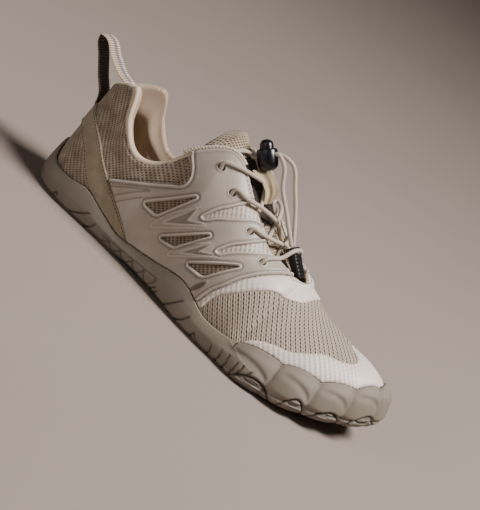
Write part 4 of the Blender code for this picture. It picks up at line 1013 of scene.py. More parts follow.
# sole: one moulding, with its relief drawn in x and height over the floor
sole = {
    "columns": 900, "gap": 0.55, "bedRows": 5, "lipRows": 6, "outerRows": 64, "underCells": 36,
    "wall": ((1.0, 1.9, 0.4), (0.6, 3.2, 0.8), (0.1, 4.4, 1.0)),
    "foot": ((5.6, 4.3, 1.0, 0.6), (3.2, 4.3, 1.1, 0.0), (0.0, 1.6, 0.9, 0.0)),
    "toeFrom": 0.62, "toeTo": 0.70, "lipRound": 0.7,
    "strokes": (
        ((29.0, 1.0), (28.2, 3.6), (29.6, 5.4), (31.6, 3.4)), ((45.1, 1.8), (51.6, 5.5), (57.9, 10.4)),
        ((58.7, 0.2), (63.4, 3.6), (65.6, 7.9)), ((121.4, 1.7), (126.5, 7.4)),
        ((126.2, 2.1), (128.8, 6.1)), ((136.2, 1.0), (142.3, 8.0), (147.6, 14.3)),
        ((141.2, 0.4), (144.3, 1.5)), ((149.1, 0.6), (154.8, 5.4), (158.1, 10.4)),
        ((164.7, 0.0), (166.8, 5.0), (172.7, 0.3)), ((180.4, -1.0), (182.3, 3.1), (181.1, 7.7)),
        ((187.3, -1.0), (189.3, 4.3), (188.7, 10.3)), ((194.0, -1.0), (195.6, 4.8), (194.8, 11.1)),
        ((200.9, 2.1), (201.9, 6.5), (201.7, 11.6)), ((205.2, 3.5), (205.8, 8.0), (206.1, 11.9)),
        ((209.8, 6.4), (211.2, 9.0), (212.1, 11.7)),
    ),
    "strokeWidths": (0.72, 0.3), "strokeDepth": 1.4,
    "parting": ((187.5, 17.5), (197.0, 15.0), (205.0, 13.4), (212.0, 11.9)), "partingWidth": 0.35,
    "crease": 0.4, "creaseWidth": 2.0, "creaseLow": (5.0, 13.0),
    "trough": 0.95, "troughWidth": 2.0, "troughLine": (3.0, 4.0, 6.0),
    "lattice": {"from": 74.0, "to": 124.0, "pitch": 11.0, "low": 1.6, "topFrom": 5.4, "topTo": 11.4,
                "width": 0.42, "depth": 0.95, "slant": 0.62, "narrow": 0.6, "border": 0.6},
    "pods": ((0.692, 0.787, 9.4), (0.803, 0.856, 9.8), (0.866, 0.926, 8.2), (0.932, 0.998, 10.0),
             (1.04, 1.17, 9.6), (1.19, 1.33, 9.2)),
    "podGroove": 1.6, "podWidth": 0.85, "podBulge": 0.55, "podRound": 0.75, "podLow": 0.6,
    # the pod, cut, trough and crease strengths of colour are painted shade; the parting line's strength of
    # colour is a painted highlight
    "podShade": 0.95, "cutShade": 0.8, "troughShade": 0.16, "creaseShade": 0.08, "partingRise": 0.2,
    "partingHighlight": 0.45,
    "tread": {"pitch": 11.0, "width": 1.5, "depth": 1.5, "wave": 2.4, "turn": 0.25, "inset": 5.0,
              "fade": 2.0},
}


def soleControls(r):
    lip = lipUp(r)
    bulge = lobeShare(r) * lobes["depth"]
    toe = smoothStep(sole["toeFrom"], sole["toeTo"], sidePlace(r))
    rings = []
    for rise, thick, share in sole["wall"]:
        rings.append(offsetSkin(r, lip * rise, sole["gap"] + thick + share * bulge))
    for height, out, share, groove in sole["foot"]:
        ring = feather(r) + outward(r) * (out + share * bulge - groove * toe)[:, None]
        ring[:, 2] = floorZ(ring[:, 0]) + height + archZ(ring[:, 0]) * (1.0 - height / lastShape["bed"])
        rings.append(ring)
    return np.stack(rings, 1)


def throughControls(controls, count):
    # a smooth line down the wall, with one even share of rows for each gap between rings
    knots = np.arange(controls.shape[1], dtype=float)
    at = np.linspace(0.0, knots[-1], count)
    i = np.clip(at.astype(int), 0, len(knots) - 2)
    t = (at - i)[None, :, None]
    slopes = np.empty_like(controls)
    slopes[:, 1:-1] = (controls[:, 2:] - controls[:, :-2]) / 2
    slopes[:, 0] = controls[:, 1] - controls[:, 0]
    slopes[:, -1] = (controls[:, -1] - controls[:, -2]) * 1.2
    return blend(controls[:, i], controls[:, i + 1], slopes[:, i], slopes[:, i + 1], t)


def soleRelief(r, points):
    # depth of the cuts in the wall, painted shade in them, a painted highlight on the raised parting line,
    # and where it has tread
    place = np.broadcast_to(np.mod(r, 2.0)[:, None], points.shape[:-1])
    x, h = points[..., 0], points[..., 2] - floorZ(points[..., 0])
    spots = np.stack([x, h], -1)
    depth, paintedShade, pod, tread = np.zeros((4, *h.shape))
    for start, end, height in sole["pods"]:
        t = np.clip((place - start) / (end - start), 0.0, 1.0)
        arch = height * np.sin(math.pi * t) ** sole["podRound"] - sole["podLow"]
        arch = np.where((place > start) & (place < end), arch, -9.0)
        groove = hump(h - arch, sole["podWidth"])
        within = smoothStep(0.6, 1.6, arch - h)
        pod = np.maximum(pod, smoothStep(-1.0, 0.0, arch - h))
        depth += sole["podGroove"] * groove - sole["podBulge"] * within
        # painted shade along each pod's groove
        paintedShade = np.maximum(paintedShade, sole["podShade"] * groove)
        tread = np.maximum(tread, within)
    cuts = np.zeros(h.shape)
    for line in sole["strokes"]:
        near = strokeDistance(spots, line, widths=sole["strokeWidths"])
        cuts = np.maximum(cuts, sole["strokeDepth"] * hump(near, 1.0))
    net = sole["lattice"]
    top = np.interp(x, (net["from"], net["to"]), (net["topFrom"], net["topTo"]))
    share = (h - net["low"]) / (top - net["low"])
    span = smoothStep(net["from"] - 1, net["from"] + 1, x)
    span = span * (1.0 - smoothStep(net["to"] - 1, net["to"] + 1, x))
    inside = span * smoothStep(-0.06, 0.06, share) * (1.0 - smoothStep(0.94, 1.06, share))
    for slant in (-1.0, 1.0):
        phase = (x - net["from"]) / net["pitch"] + slant * share * net["slant"]
        gap = np.abs(phase - np.round(phase)) * net["pitch"] * net["narrow"]
        cuts = np.maximum(cuts, inside * net["depth"] * hump(gap, net["width"]))
    for edge in (0.0, 1.0):
        near = np.abs(share - edge) * (top - net["low"])
        cuts = np.maximum(cuts, net["border"] * net["depth"] * span * hump(near, net["width"]))
    cuts = cuts * (1.0 - pod)
    # painted shade in the strokes and the lattice cuts
    paintedShade = np.maximum(paintedShade, sole["cutShade"] * np.clip(cuts / sole["strokeDepth"], 0.0, 1.0))
    depth = depth + cuts
    # each toe lobe has a rolled rim: a soft trough below its lip that turns down into the next valley
    below = lipHeight(r)[:, None] - h
    valleys = lobes["valleys"]
    for start, end in zip(valleys[:-1], valleys[1:]):
        s = np.clip((place - start) / (end - start), 0.0, 1.0)
        low, rise, turn = sole["troughLine"]
        trough = hump(below - low - rise * s - turn * s**4, sole["troughWidth"])
        trough = trough * smoothStep(0.0, 0.3, s) * (1.0 - smoothStep(0.9, 1.0, s)) * (1.0 - pod)
        depth += sole["trough"] * trough
        # painted shade in each lobe's trough
        paintedShade = np.maximum(paintedShade, sole["troughShade"] * trough)
    for valley in valleys[1:-1]:
        crease = hump((place - valley) * sideLength, sole["creaseWidth"])
        crease = crease * (1.0 - smoothStep(*sole["creaseLow"], below)) * (1.0 - pod)
        depth += sole["crease"] * crease
        # painted shade in the creases between the lobes
        paintedShade = np.maximum(paintedShade, sole["creaseShade"] * crease)
    # the raised parting line gets a painted highlight
    worn = hump(strokeDistance(spots, sole["parting"]), sole["partingWidth"])
    return depth - sole["partingRise"] * worn, paintedShade, sole["partingHighlight"] * worn, tread


def makeSole():
    r = np.linspace(-1.0, 1.0, sole["columns"] + 1)
    lip = lipUp(r)
    bed = feather(r) + outward(r) * sole["gap"]
    bed[:, 2] -= sole["gap"]
    rows = [bed]
    for share in np.linspace(0.2, 1.0, sole["bedRows"]):
        rows.append(offsetSkin(r, lip * share, sole["gap"]))
    controls = soleControls(r)
    inner, outer = rows[-1], controls[:, 0]
    rise = unit(offsetSkin(r, np.clip(lip + 0.02, 0.0, 1.0), sole["gap"]) - inner)
    half = np.linalg.norm(outer - inner, axis=1, keepdims=True) / 2
    for angle in np.linspace(0.0, math.pi, sole["lipRows"] + 2)[1:-1]:
        middle = (inner + outer) / 2 - (outer - inner) / 2 * math.cos(angle)
        rows.append(middle + rise * half * sole["lipRound"] * math.sin(angle))
    wall = throughControls(controls, sole["outerRows"])
    depth, paintedShade, worn, tread = soleRelief(r, wall)
    fade = np.ones(sole["outerRows"])
    fade[0] = 0.0
    wall = wall - outward(r)[:, None] * (depth * fade)[..., None]
    wall[..., 2] = np.maximum(wall[..., 2], floorZ(wall[..., 0]))
    before = len(rows)
    points = np.concatenate([np.stack(rows, 1), wall], 1)
    plain = np.zeros((len(r), before))
    # painted shade and the painted highlight on the parting line go to the rubber as point traits
    cut, worn, tread = (np.concatenate([plain, values * fade], 1) for values in (paintedShade, worn, tread))
    columns, count = points.shape[:2]
    faces = [tuple(f) for f in gridFaces(columns, count)]
    points, cut = list(points.reshape(-1, 3)), list(cut.ravel())
    half = sole["columns"] // 2
    for row, upside in ((0, True), (count - 1, False)):
        # rungs from the outer to the inner side close the ring
        cells = sole["underCells"]
        rungs = []
        for i in range(half + 1):
            lateral, medial = (half + i) * count + row, (half - i) * count + row
            rung = [lateral]
            for t in np.linspace(0.0, 1.0, cells + 1)[1:-1]:
                spot = (1 - t) * points[lateral] + t * points[medial]
                groove = 0.0 if upside else treadDepth(spot, points[lateral][1], points[medial][1])
                base = lastShape["bed"] - sole["gap"] if upside else archZ(spot[0])
                spot[2] = floorZ(spot[0]) + base + groove
                points.append(spot)
                # the tread grooves under the sole get painted shade
                cut.append(min(1.0, groove / sole["tread"]["depth"]) * sole["cutShade"])
                rung.append(len(points) - 1)
            rungs.append(rung + [medial])
        for here, after in zip(rungs[:-1], rungs[1:]):
            for k in range(cells):
                loop = (here[k], after[k], after[k + 1], here[k + 1])
                faces.append(loop if upside else loop[::-1])
    more = np.zeros(len(points) - worn.size)
    traits = {"cut": cut, "worn": np.append(worn.ravel(), more), "tread": np.append(tread.ravel(), more)}
    makePiece("cupSole", np.array(points), faces, [rubber], "outsole", "outsole", traits=traits, weld=0.004)


def treadDepth(spot, lateralY, medialY):
    # shallow chevron grooves under the sole, deepest away from its edges
    tread = sole["tread"]
    middle = (lateralY + medialY) / 2
    edge = min(abs(spot[1] - lateralY), abs(spot[1] - medialY))
    if edge < tread["inset"]:
        return 0.0
    place = (spot[0] + tread["wave"] * math.cos((spot[1] - middle) * tread["turn"])) / tread["pitch"]
    gap = abs(place - round(place)) * tread["pitch"]
    line = abs(spot[1] - middle)
    share = math.exp(-(gap / tread["width"]) ** 2)
    share = max(share, math.exp(-(line / tread["width"]) ** 2))
    return tread["depth"] * share * min(1.0, (edge - tread["inset"]) / tread["fade"])


makeSole()
print("sole ready")


# places on one side, flattened to millimetres along and up the wall
def flat(p, w):
    p, w = np.asarray(p, float), np.asarray(w, float)
    return np.stack([p * sideLength, wallLength(p, w)], -1)


def unflat(places):
    p = places[:, 0] / sideLength
    along, up, length = (lengthTable[key] for key in ("along", "up", "length"))
    i = np.clip(np.searchsorted(along, p) - 1, 0, len(along) - 2)
    a = ((p - along[i]) / (along[i + 1] - along[i]))[:, None]
    rows = length[i] * (1 - a) + length[i + 1] * a
    return p, np.array([np.interp(v, row, up) for v, row in zip(places[:, 1], rows)])


def flatLine(points, step=0.8):
    # a smooth line through (along, up) places, as even flat points
    points = np.asarray(points, float)
    return smoothPath(flat(points[:, 0], points[:, 1]), step)


def apart(points, others):
    # distance from each point to the nearest of the others
    tree = KDTree(len(others))
    for i, spot in enumerate(others):
        tree.insert((*spot, 0.0), i)
    tree.balance()
    return np.array([tree.find((*spot, 0.0))[2] for spot in points])


def ringsAround(loop, distances):
    # the same loop drawn again outside itself
    ahead = np.roll(loop, -1, axis=0) - np.roll(loop, 1, axis=0)
    out = np.stack([ahead[:, 1], -ahead[:, 0]], -1) / np.linalg.norm(ahead, axis=1, keepdims=True)
    turn = np.sign(np.sum(loop[:, 0] * np.roll(loop[:, 1], -1) - loop[:, 1] * np.roll(loop[:, 0], -1)))
    return [loop + out * turn * d for d in distances]


def flatPatch(outline, holes, creases, lines, step):
    # triangles that fill an outline in flat millimetres, finer along creases and lines
    loops = [outline] + holes + creases
    borders = np.concatenate(loops)
    extra = np.concatenate(lines)
    extra = extra[insideLoop(extra, outline)]
    extra = extra[np.unique(np.round(extra / (0.5 * step)), axis=0, return_index=True)[1]]
    extra = extra[apart(extra, borders) > 0.4 * step]
    low, high = outline.min(axis=0), outline.max(axis=0)
    across, upward = np.meshgrid(np.arange(low[0], high[0], step), np.arange(low[1], high[1], step * 0.866),
                                 indexing="ij")
    across = across + (np.arange(across.shape[1]) % 2)[None, :] * step / 2
    seeds = np.stack([across.ravel(), upward.ravel()], -1)
    seeds = seeds[insideLoop(seeds, outline)]
    seeds = seeds[apart(seeds, np.concatenate([borders, extra])) > 0.6 * step]
    edges, start = [], 0
    for loop in loops:
        edges += [(start + i, start + (i + 1) % len(loop)) for i in range(len(loop))]
        start += len(loop)
    spots = [Vector(s) for s in np.concatenate([borders, extra, seeds])]
    made = delaunay_2d_cdt(spots, edges, [], 0, 1e-5)
    places = np.array([tuple(v) for v in made[0]])
    cells = np.array([tuple(face) for face in made[2]])
    middles = places[cells].mean(axis=1)
    keep = insideLoop(middles, outline)
    for loop in holes:
        keep &= ~insideLoop(middles, loop)
    used, cells = np.unique(cells[keep], return_inverse=True)
    return places[used], cells.reshape(-1, 3)


# openings of the cage, drawn as (along, up); slots run out over the throat's edge
cage = {
    "rear": ((0.330, 0.042), (0.282, 0.236), (0.247, 0.375), (0.213, 0.475)),
    "collar": ((0.217, 0.490), (0.263, 0.660), (0.302, 0.715), (0.335, 0.680), (0.360, 0.675),
               (0.362, 0.725), (0.357, 0.805), (0.345, 0.945), (0.342, 1.0)),
    "throat": (0.342, 0.645), "foot": (0.536, 0.330),
    "front": ((0.645, 1.0), (0.623, 0.830), (0.601, 0.676), (0.580, 0.525), (0.567, 0.405),
              (0.552, 0.290), (0.542, 0.150), (0.536, 0.02)),
    "windows": (((0.312, 0.479), (0.399, 0.587), (0.345, 0.394)),
                ((0.382, 0.255), (0.474, 0.533), (0.421, 0.270)),
                ((0.471, 0.278), (0.564, 0.606), (0.516, 0.309))),
    "slots": (((0.4325, 0.528), (0.450, 0.650), (0.465, 0.740), (0.478, 0.850), (0.487, 0.940), (0.492, 1.04),
               (0.530, 1.04), (0.512, 0.910), (0.497, 0.805), (0.478, 0.710), (0.458, 0.625), (0.441, 0.545)),
              ((0.504, 0.498), (0.520, 0.620), (0.537, 0.725), (0.552, 0.860), (0.562, 1.0), (0.565, 1.04),
               (0.594, 1.04), (0.580, 0.920), (0.565, 0.810), (0.547, 0.700), (0.527, 0.595),
               (0.513, 0.515))),
    "pockets": (((0.370, 0.355), (0.413, 0.530), (0.410, 0.435), (0.450, 0.525)),
                ((0.443, 0.280), (0.487, 0.500), (0.473, 0.385), (0.520, 0.505))),
    "chevrons": (((0.417, 0.555), (0.362, 0.390), (0.350, 0.290), (0.380, 0.330), (0.435, 0.450)),
                 ((0.482, 0.495), (0.432, 0.295), (0.422, 0.205), (0.452, 0.280), (0.505, 0.445))),
    "arrows": (((0.225, 0.430), (0.307, 0.630)), ((0.240, 0.370), (0.310, 0.620)),
               ((0.255, 0.345), (0.302, 0.535))),
    "slit": ((0.512, 0.160), (0.532, 0.305)), "slitHalf": 1.8,
    "lipGap": 1.0, "spacing": 0.8, "cornerRadius": 2.6, "edgeRound": 0.7,
    # the bead, rim and ridge strengths of colour set a painted highlight; the moat, pocket, ridge-side, line
    # and slit ones set painted shade
    "beadOut": 1.05, "beadWidth": 0.5, "beadHeight": 0.55, "beadHighlight": 0.6,
    "moatOut": 2.35, "moatWidth": 0.45, "moatDepth": 0.6, "moatShade": 0.6,
    "beadShares": {"window": 1.0, "slot": 0.9, "collar": 0.9, "front": 0.8, "throat": 0.6},
    "rimOut": 0.5, "rimWidth": 0.45, "rimHeight": 0.35, "rimHighlight": 0.5, "pocketShade": 0.42,
    "ridgeShade": 0.3, "ridgeHighlight": 0.4, "lineShade": 0.5,
    "slitDepth": 0.9, "slitRim": 0.35, "slitShade": 0.75,
    "rings": (0.3, 0.65, 1.05, 1.45, 1.9, 2.35, 2.8),
    "pocketDepth": 0.95, "ridgeHeight": 0.35, "ridgeWidth": 0.5, "lineDepth": 0.4, "lineWidth": 0.4,
    "eyeRim": 0.4,
}


def overLip(p):
    return heightToUp(p, lipHeight(p) + cage["lipGap"])


def cageLines():
    # the four sides of the cage in flat millimetres, cut where they meet the sole's lip
    foot = np.linspace(*cage["foot"], 130)
    lip = flat(foot, overLip(foot))
    front, rear = flatLine(cage["front"]), flatLine(cage["rear"])
    throat = np.linspace(*cage["throat"], 160)
    return {"rear": rear[rear[:, 1] > lip[-1, 1] + 0.4], "collar": flatLine(cage["collar"]),
            "throat": flat(throat, np.ones_like(throat))[1:-1], "front": front[front[:, 1] > lip[0, 1] + 0.4],
            "lip": lip}


def cageRelief(places, sides, windows, slots, pockets):
    # height of the moulding over its plain face, painted shade in its grooves, pockets and slit, a painted
    # highlight on its beads, rims and ridges
    rise, paintedShade, worn = np.zeros((3, len(places)))
    edge = np.min([strokeDistance(places, line) for line in sides.values()], axis=0)
    shares = cage["beadShares"]
    bands = [(strokeDistance(places, loop, closed=True), shares["window"]) for loop in windows]
    bands += [(strokeDistance(places, loop, closed=True), shares["slot"]) for loop in slots]
    bands += [(strokeDistance(places, sides[key]), shares[key]) for key in ("collar", "front", "throat")]
    for near, share in bands:
        edge = np.minimum(edge, near)
        bead = share * hump(near - cage["beadOut"], cage["beadWidth"])
        moat = share * hump(near - cage["moatOut"], cage["moatWidth"])
        rise += cage["beadHeight"] * bead - cage["moatDepth"] * moat
        # painted shade in the moat, a painted highlight on the bead
        paintedShade = np.maximum(paintedShade, cage["moatShade"] * moat)
        worn = np.maximum(worn, cage["beadHighlight"] * bead)
    second = hump(strokeDistance(places, sides["front"]) - 2.0 * cage["moatOut"] + 1.1, cage["beadWidth"])
    rise += 0.8 * cage["beadHeight"] * second
    for loop in pockets:
        near = strokeDistance(places, loop, closed=True)
        inside = insideLoop(places, loop)
        sunk = np.where(inside, smoothStep(0.0, 0.7, near), 0.0)
        rim = np.where(inside, 0.0, hump(near - cage["rimOut"], cage["rimWidth"]))
        rise += cage["rimHeight"] * rim - cage["pocketDepth"] * sunk
        # painted shade in the pocket, a painted highlight on its rim
        paintedShade = np.maximum(paintedShade, cage["pocketShade"] * sunk)
        worn = np.maximum(worn, cage["rimHighlight"] * rim)
    for line in cage["chevrons"]:
        near = strokeDistance(places, flatLine(line))
        rise += cage["ridgeHeight"] * hump(near, cage["ridgeWidth"])
        # painted shade beside the ridge, a painted highlight on it
        paintedShade = np.maximum(paintedShade, cage["ridgeShade"] * hump(near - 1.0, 0.4))
        worn = np.maximum(worn, cage["ridgeHighlight"] * hump(near, cage["ridgeWidth"]))
    for line in cage["arrows"]:
        groove = hump(strokeDistance(places, flatLine(line)), cage["lineWidth"])
        rise -= cage["lineDepth"] * groove
        # painted shade in the line's groove
        paintedShade = np.maximum(paintedShade, cage["lineShade"] * groove)
    start, end = flat(*np.array(cage["slit"]).T)
    run = end - start
    t = np.clip(((places - start) @ run) / (run @ run), 0.0, 1.0)
    off = np.linalg.norm(places - start - t[:, None] * run, axis=1)
    leaf = cage["slitHalf"] * np.sin(math.pi * t) ** 0.7 - off
    rise -= cage["slitDepth"] * smoothStep(-0.5, 0.4, leaf)
    rise += cage["slitRim"] * hump(leaf + 0.9, 0.5)
    # painted shade in the slit
    paintedShade = np.maximum(paintedShade, cage["slitShade"] * smoothStep(-0.3, 0.5, leaf))
    for along, up in eyelets.values():
        near = np.linalg.norm(places - flat(along, up), axis=1)
        rise += cage["eyeRim"] * hump(near - eyeletRadius - 0.8, 0.5)
        edge = np.minimum(edge, np.abs(near - eyeletRadius))
    return rise, paintedShade, worn, roundEdge(edge, cage["edgeRound"])


def makeCages():
    sides = cageLines()
    outline = np.concatenate(list(sides.values()))
    radius, step = cage["cornerRadius"], cage["spacing"]
    windows = [roundedLoop(flat(*np.array(c).T), radius, step) for c in cage["windows"]]
    slots = [roundedLoop(flat(*np.array(c).T), radius, step) for c in cage["slots"]]
    for loop in slots:
        loop[:, 1] = np.where(loop[:, 1] > wallLength(loop[:, 0] / sideLength, 1.0) - 0.05,
                              loop[:, 1] + 2.0, loop[:, 1])
    pockets = [roundedLoop(flat(*np.array(c).T), 1.0, step) for c in cage["pockets"]]
    angles = np.linspace(0.0, 2 * math.pi, 29)[:-1]
    ring = eyeletRadius * np.stack([np.cos(angles), np.sin(angles)], -1)
    rims = [flat(along, up) + ring for along, up in eyelets.values()]
    lines = [flatLine(line, 0.6) for line in cage["chevrons"] + cage["arrows"]]
    for loop in windows + slots + rims:
        lines += ringsAround(loop, cage["rings"])
    for loop in pockets:
        lines += ringsAround(loop, (-0.7, -0.35, 0.5, 1.0))
    both = [s * d for d in cage["rings"] for s in (-1, 1)]
    for key in ("collar", "front"):
        lines += [line[2:-2] for line in ringsAround(sides[key], both)]
    places, cells = flatPatch(outline, windows + slots + rims, pockets, lines, step)
    rise, paintedShade, worn, rounded = cageRelief(places, sides, windows, slots, pockets)
    p, w = unflat(places)
    for name, ring, node in (("cageLateral", p, "cage_lateral"), ("cageMedial", 2.0 - p, "cage_medial")):
        base, normal = skin(ring, w), skinNormal(ring, w)
        full = cageShape["gap"] + cageShape["thick"] + rise
        low = cageShape["inner"] + cageShape["edge"]
        outer = base + normal * (low + (full - low) * rounded)[:, None]
        points, faces = shell(outer, base + normal * cageShape["inner"], cells)
        # painted shade and the painted highlight go to the urethane as point traits
        makePiece(name, points, faces, [cageUrethane], "cage", node,
                  traits={"cut": np.tile(paintedShade, 2), "worn": np.tile(worn, 2)})
    return windows, slots, rims


windowLoops, slotLoops, eyeletLoops = makeCages()
print("cages ready")


# upper: outer face, rolled collar and lining in one skin
upper = {
    # the foam in the collar pushes the lining in
    "swell": 3.6, "swellDepth": 36.0, "swellEnds": (0.30, 0.36),
    "columns": 760, "outerRows": 58, "rimRows": 10, "innerRows": 22,
    "collarFrom": 0.30, "collarTo": 0.39, "padFrom": 0.50, "padTo": 0.80,
    "seam": ((0.0, 1.0), (0.06, 1.0), (0.09, 0.995), (0.115, 0.96), (0.147, 0.87), (0.19, 0.905),
             (0.25, 0.93), (0.345, 0.955)),
    "seamDip": 0.9, "seamWidth": 1.2, "seamEnd": (0.33, 0.345), "slotRib": 0.8,
    "vampFrom": 0.45, "sideFrom": 0.30, "sideTop": 0.62, "holeMargin": 1.4,
    "creases": (
        ((0.655, 0.25), (0.675, 0.55), 5.0, -0.9),
        ((0.70, 0.30), (0.725, 0.62), 6.0, -0.8),
        ((0.68, 0.30), (0.70, 0.58), 5.0, 0.6),
        ((0.06, 0.80), (0.16, 0.70), 5.0, -0.9),
        ((0.12, 0.66), (0.22, 0.60), 5.0, -0.7),
    ),
    "liningCreases": (((0.10, 0.70), (0.27, 0.66), 2.2, -1.8), ((0.10, 0.78), (0.27, 0.75), 5.0, 1.2),
                      ((0.08, 0.60), (0.28, 0.56), 4.0, 1.0)),
}


def upperWall(r, w):
    collar = 1.0 - smoothStep(upper["collarFrom"], upper["collarTo"], sidePlace(r))
    pad = smoothStep(upper["padFrom"], upper["padTo"], w) * lastShape["collarPad"] * collar
    return lastShape["wall"] + pad


def rimStart(r):
    # the roll takes its own radius off the top edge, and nothing where the throat is closed
    wall = upperWall(r, np.full_like(r, 0.95))
    share = wall / 2 / wallLength(r, np.ones_like(r))
    return 1.0 - share * (1.0 - smoothStep(throatBase - 0.03, throatBase - 1e-3, sidePlace(r)))


def creaseRise(r, w, creases):
    places = flat(sidePlace(r), w)
    rise = np.zeros(np.shape(w))
    for start, end, width, height in creases:
        line = flat(np.array([start[0], end[0]]), np.array([start[1], end[1]]))
        rise += height * hump(strokeDistance(places, line), width)
    return rise


def makeUpper():
    r = np.linspace(-1.0, 1.0, upper["columns"] + 1)
    top = rimStart(r)
    w = top[:, None] * np.linspace(0.0, 1.0, upper["outerRows"])[None, :]
    rr = np.broadcast_to(r[:, None], w.shape)
    seam = smoothThrough(*np.array(upper["seam"]).T, sidePlace(r))[:, None]
    dip = hump((w - seam) * wallLength(r, np.ones_like(r))[:, None], upper["seamWidth"])
    dip = dip * (1.0 - smoothStep(*upper["seamEnd"], sidePlace(r)))[:, None]
    outer = offsetSkin(rr, w, creaseRise(rr, w, upper["creases"]) - upper["seamDip"] * dip)
    wIn = top[:, None] * np.linspace(1.0, 0.0, upper["innerRows"])[None, :]
    rIn = np.broadcast_to(r[:, None], wIn.shape)
    fold = creaseRise(rIn, wIn, upper["liningCreases"])
    fold = fold * smoothStep(0.0, 0.1, (top[:, None] - wIn))
    below = (top[:, None] - wIn) * wallLength(r, np.ones_like(r))[:, None]
    swell = upper["swell"] * np.sin(math.pi * np.clip(below / upper["swellDepth"], 0.0, 1.0)) ** 2
    swell = swell * (1.0 - smoothStep(*upper["swellEnds"], sidePlace(r)))[:, None]
    inner = offsetSkin(rIn, wIn, -upperWall(rIn, np.minimum(wIn, top[:, None])) - fold - swell)
    high, low = outer[:, -1], inner[:, 0]
    rise = unit(offsetSkin(r, top, 0.0) - offsetSkin(r, top - 0.02, 0.0))
    half = np.linalg.norm(high - low, axis=1, keepdims=True) / 2
    rim = []
    for angle in np.linspace(0.0, math.pi, upper["rimRows"] + 2)[1:-1]:
        middle = (high + low) / 2 + (high - low) / 2 * math.cos(angle)
        rim.append(middle + rise * half * math.sin(angle))
    points = np.concatenate([outer, np.stack(rim, 1), inner], 1)
    columns, rows = points.shape[:2]
    first, last = upper["outerRows"] - 1, upper["outerRows"] + upper["rimRows"]
    place = sidePlace((r[1:] + r[:-1]) / 2)
    closed = place > throatBase - 1e-4
    skip = np.zeros((columns - 1, rows - 1), bool)
    skip[:, first:last] = closed[:, None]
    wAll = np.concatenate([w, np.repeat(top[:, None], upper["rimRows"], 1), wIn], 1)
    rAll = np.broadcast_to(r[:, None], wAll.shape)
    faces = gridFaces(columns, rows, skip)
    heel = heelWeave(rAll, wAll).reshape(-1, 2)
    ribs = ribWeave(rAll, wAll).reshape(-1, 2)
    middle = (wAll[1:, 1:] + wAll[:-1, :-1]) / 2
    along = np.broadcast_to(place[:, None], middle.shape)
    inward = np.broadcast_to(np.arange(rows - 1)[None, :] >= first, middle.shape)
    seamMid = (seam[1:] + seam[:-1]) / 2
    cloths = [heelKnit, vampKnit, lining, darkKnit, slotFilm, rollCloth, windowKnit]
    atHeel, atVamp, inLining, inEyelet, inSlot, onRoll, inWindow = range(len(cloths))
    low = (along > upper["sideFrom"]) & (middle < upper["sideTop"])
    kind = np.where((along > upper["vampFrom"]) | low, atVamp, atHeel)
    spots = flat(along.ravel(), middle.ravel())
    # inside the eyelet rims the upper takes the dark knit: painted shade down the eyelet holes
    for loops, cloth in ((slotLoops, inSlot), (windowLoops, inWindow), (eyeletLoops, inEyelet)):
        for loop in loops:
            near = strokeDistance(spots, loop, closed=True) < upper["holeMargin"]
            near = near | insideLoop(spots, loop)
            kind = np.where(near.reshape(kind.shape), cloth, kind)
    rolled = np.broadcast_to((np.arange(rows - 1) < (first + last) // 2)[None, :], middle.shape)
    kind = np.where((along < upper["seamEnd"][1]) & (middle > seamMid), onRoll, kind)
    kind = np.where(inward, np.where(rolled, onRoll, inLining), kind)[~skip]
    corners = faces.ravel()
    ribbed = np.repeat((kind == atVamp) | (kind == inSlot), 4)
    uv = np.where(ribbed[:, None], ribs[corners], heel[corners])
    ribs = np.full(points.size // 3, upper["slotRib"])
    makePiece("knitUpper", points.reshape(-1, 3), faces, cloths, "upper", "upper", faceMaterial=kind, uv=uv,
              traits={"rib": ribs}, weld=0.004)


makeUpper()
print("upper ready")


# flat layers on the upper: strap, toe film, throat film
strap = {
    "top": ((0.0, 0.750), (0.030, 0.734), (0.130, 0.537), (0.172, 0.510), (0.209, 0.475), (0.247, 0.375),
            (0.282, 0.236), (0.330, 0.042)),
    "bottom": ((0.0, 0.530), (0.031, 0.525), (0.110, 0.378), (0.153, 0.251), (0.182, 0.181),
               (0.213, 0.131), (0.252, 0.039), (0.330, 0.0)),
    "columns": 240, "rows": 22, "end": 0.322, "gap": 0.15, "edge": 0.4, "height": 1.25, "round": 1.0,
}
films = {
    "toeEdge": ((0.668, 0.175), (0.680, 0.235), (0.70, 0.30), (0.727, 0.355), (0.757, 0.395), (0.775, 0.44),
                (0.797, 0.51), (0.815, 0.575), (0.843, 0.615), (0.873, 0.665), (0.89, 0.725), (0.897, 0.785),
                (0.896, 0.84), (0.890, 0.89), (0.879, 0.935), (0.868, 0.97), (0.858, 1.0)),
    "throatRear": ((0.647, 1.0), (0.625, 0.830), (0.603, 0.676), (0.582, 0.525), (0.569, 0.405),
                   (0.554, 0.290), (0.544, 0.150), (0.538, 0.02)),
    "throatFront": ((0.556, 0.02), (0.558, 0.135), (0.564, 0.266), (0.597, 0.452), (0.627, 0.606),
                    (0.642, 0.664), (0.680, 0.710), (0.698, 0.784), (0.711, 1.0)),
    "spacing": 1.3, "height": 0.8, "inner": 0.1, "edge": 0.08, "edgeRound": 1.4, "overlap": 0.4,
    "toePlain": (0.88, 0.96), "throatPlain": (0.55, 0.70),
}


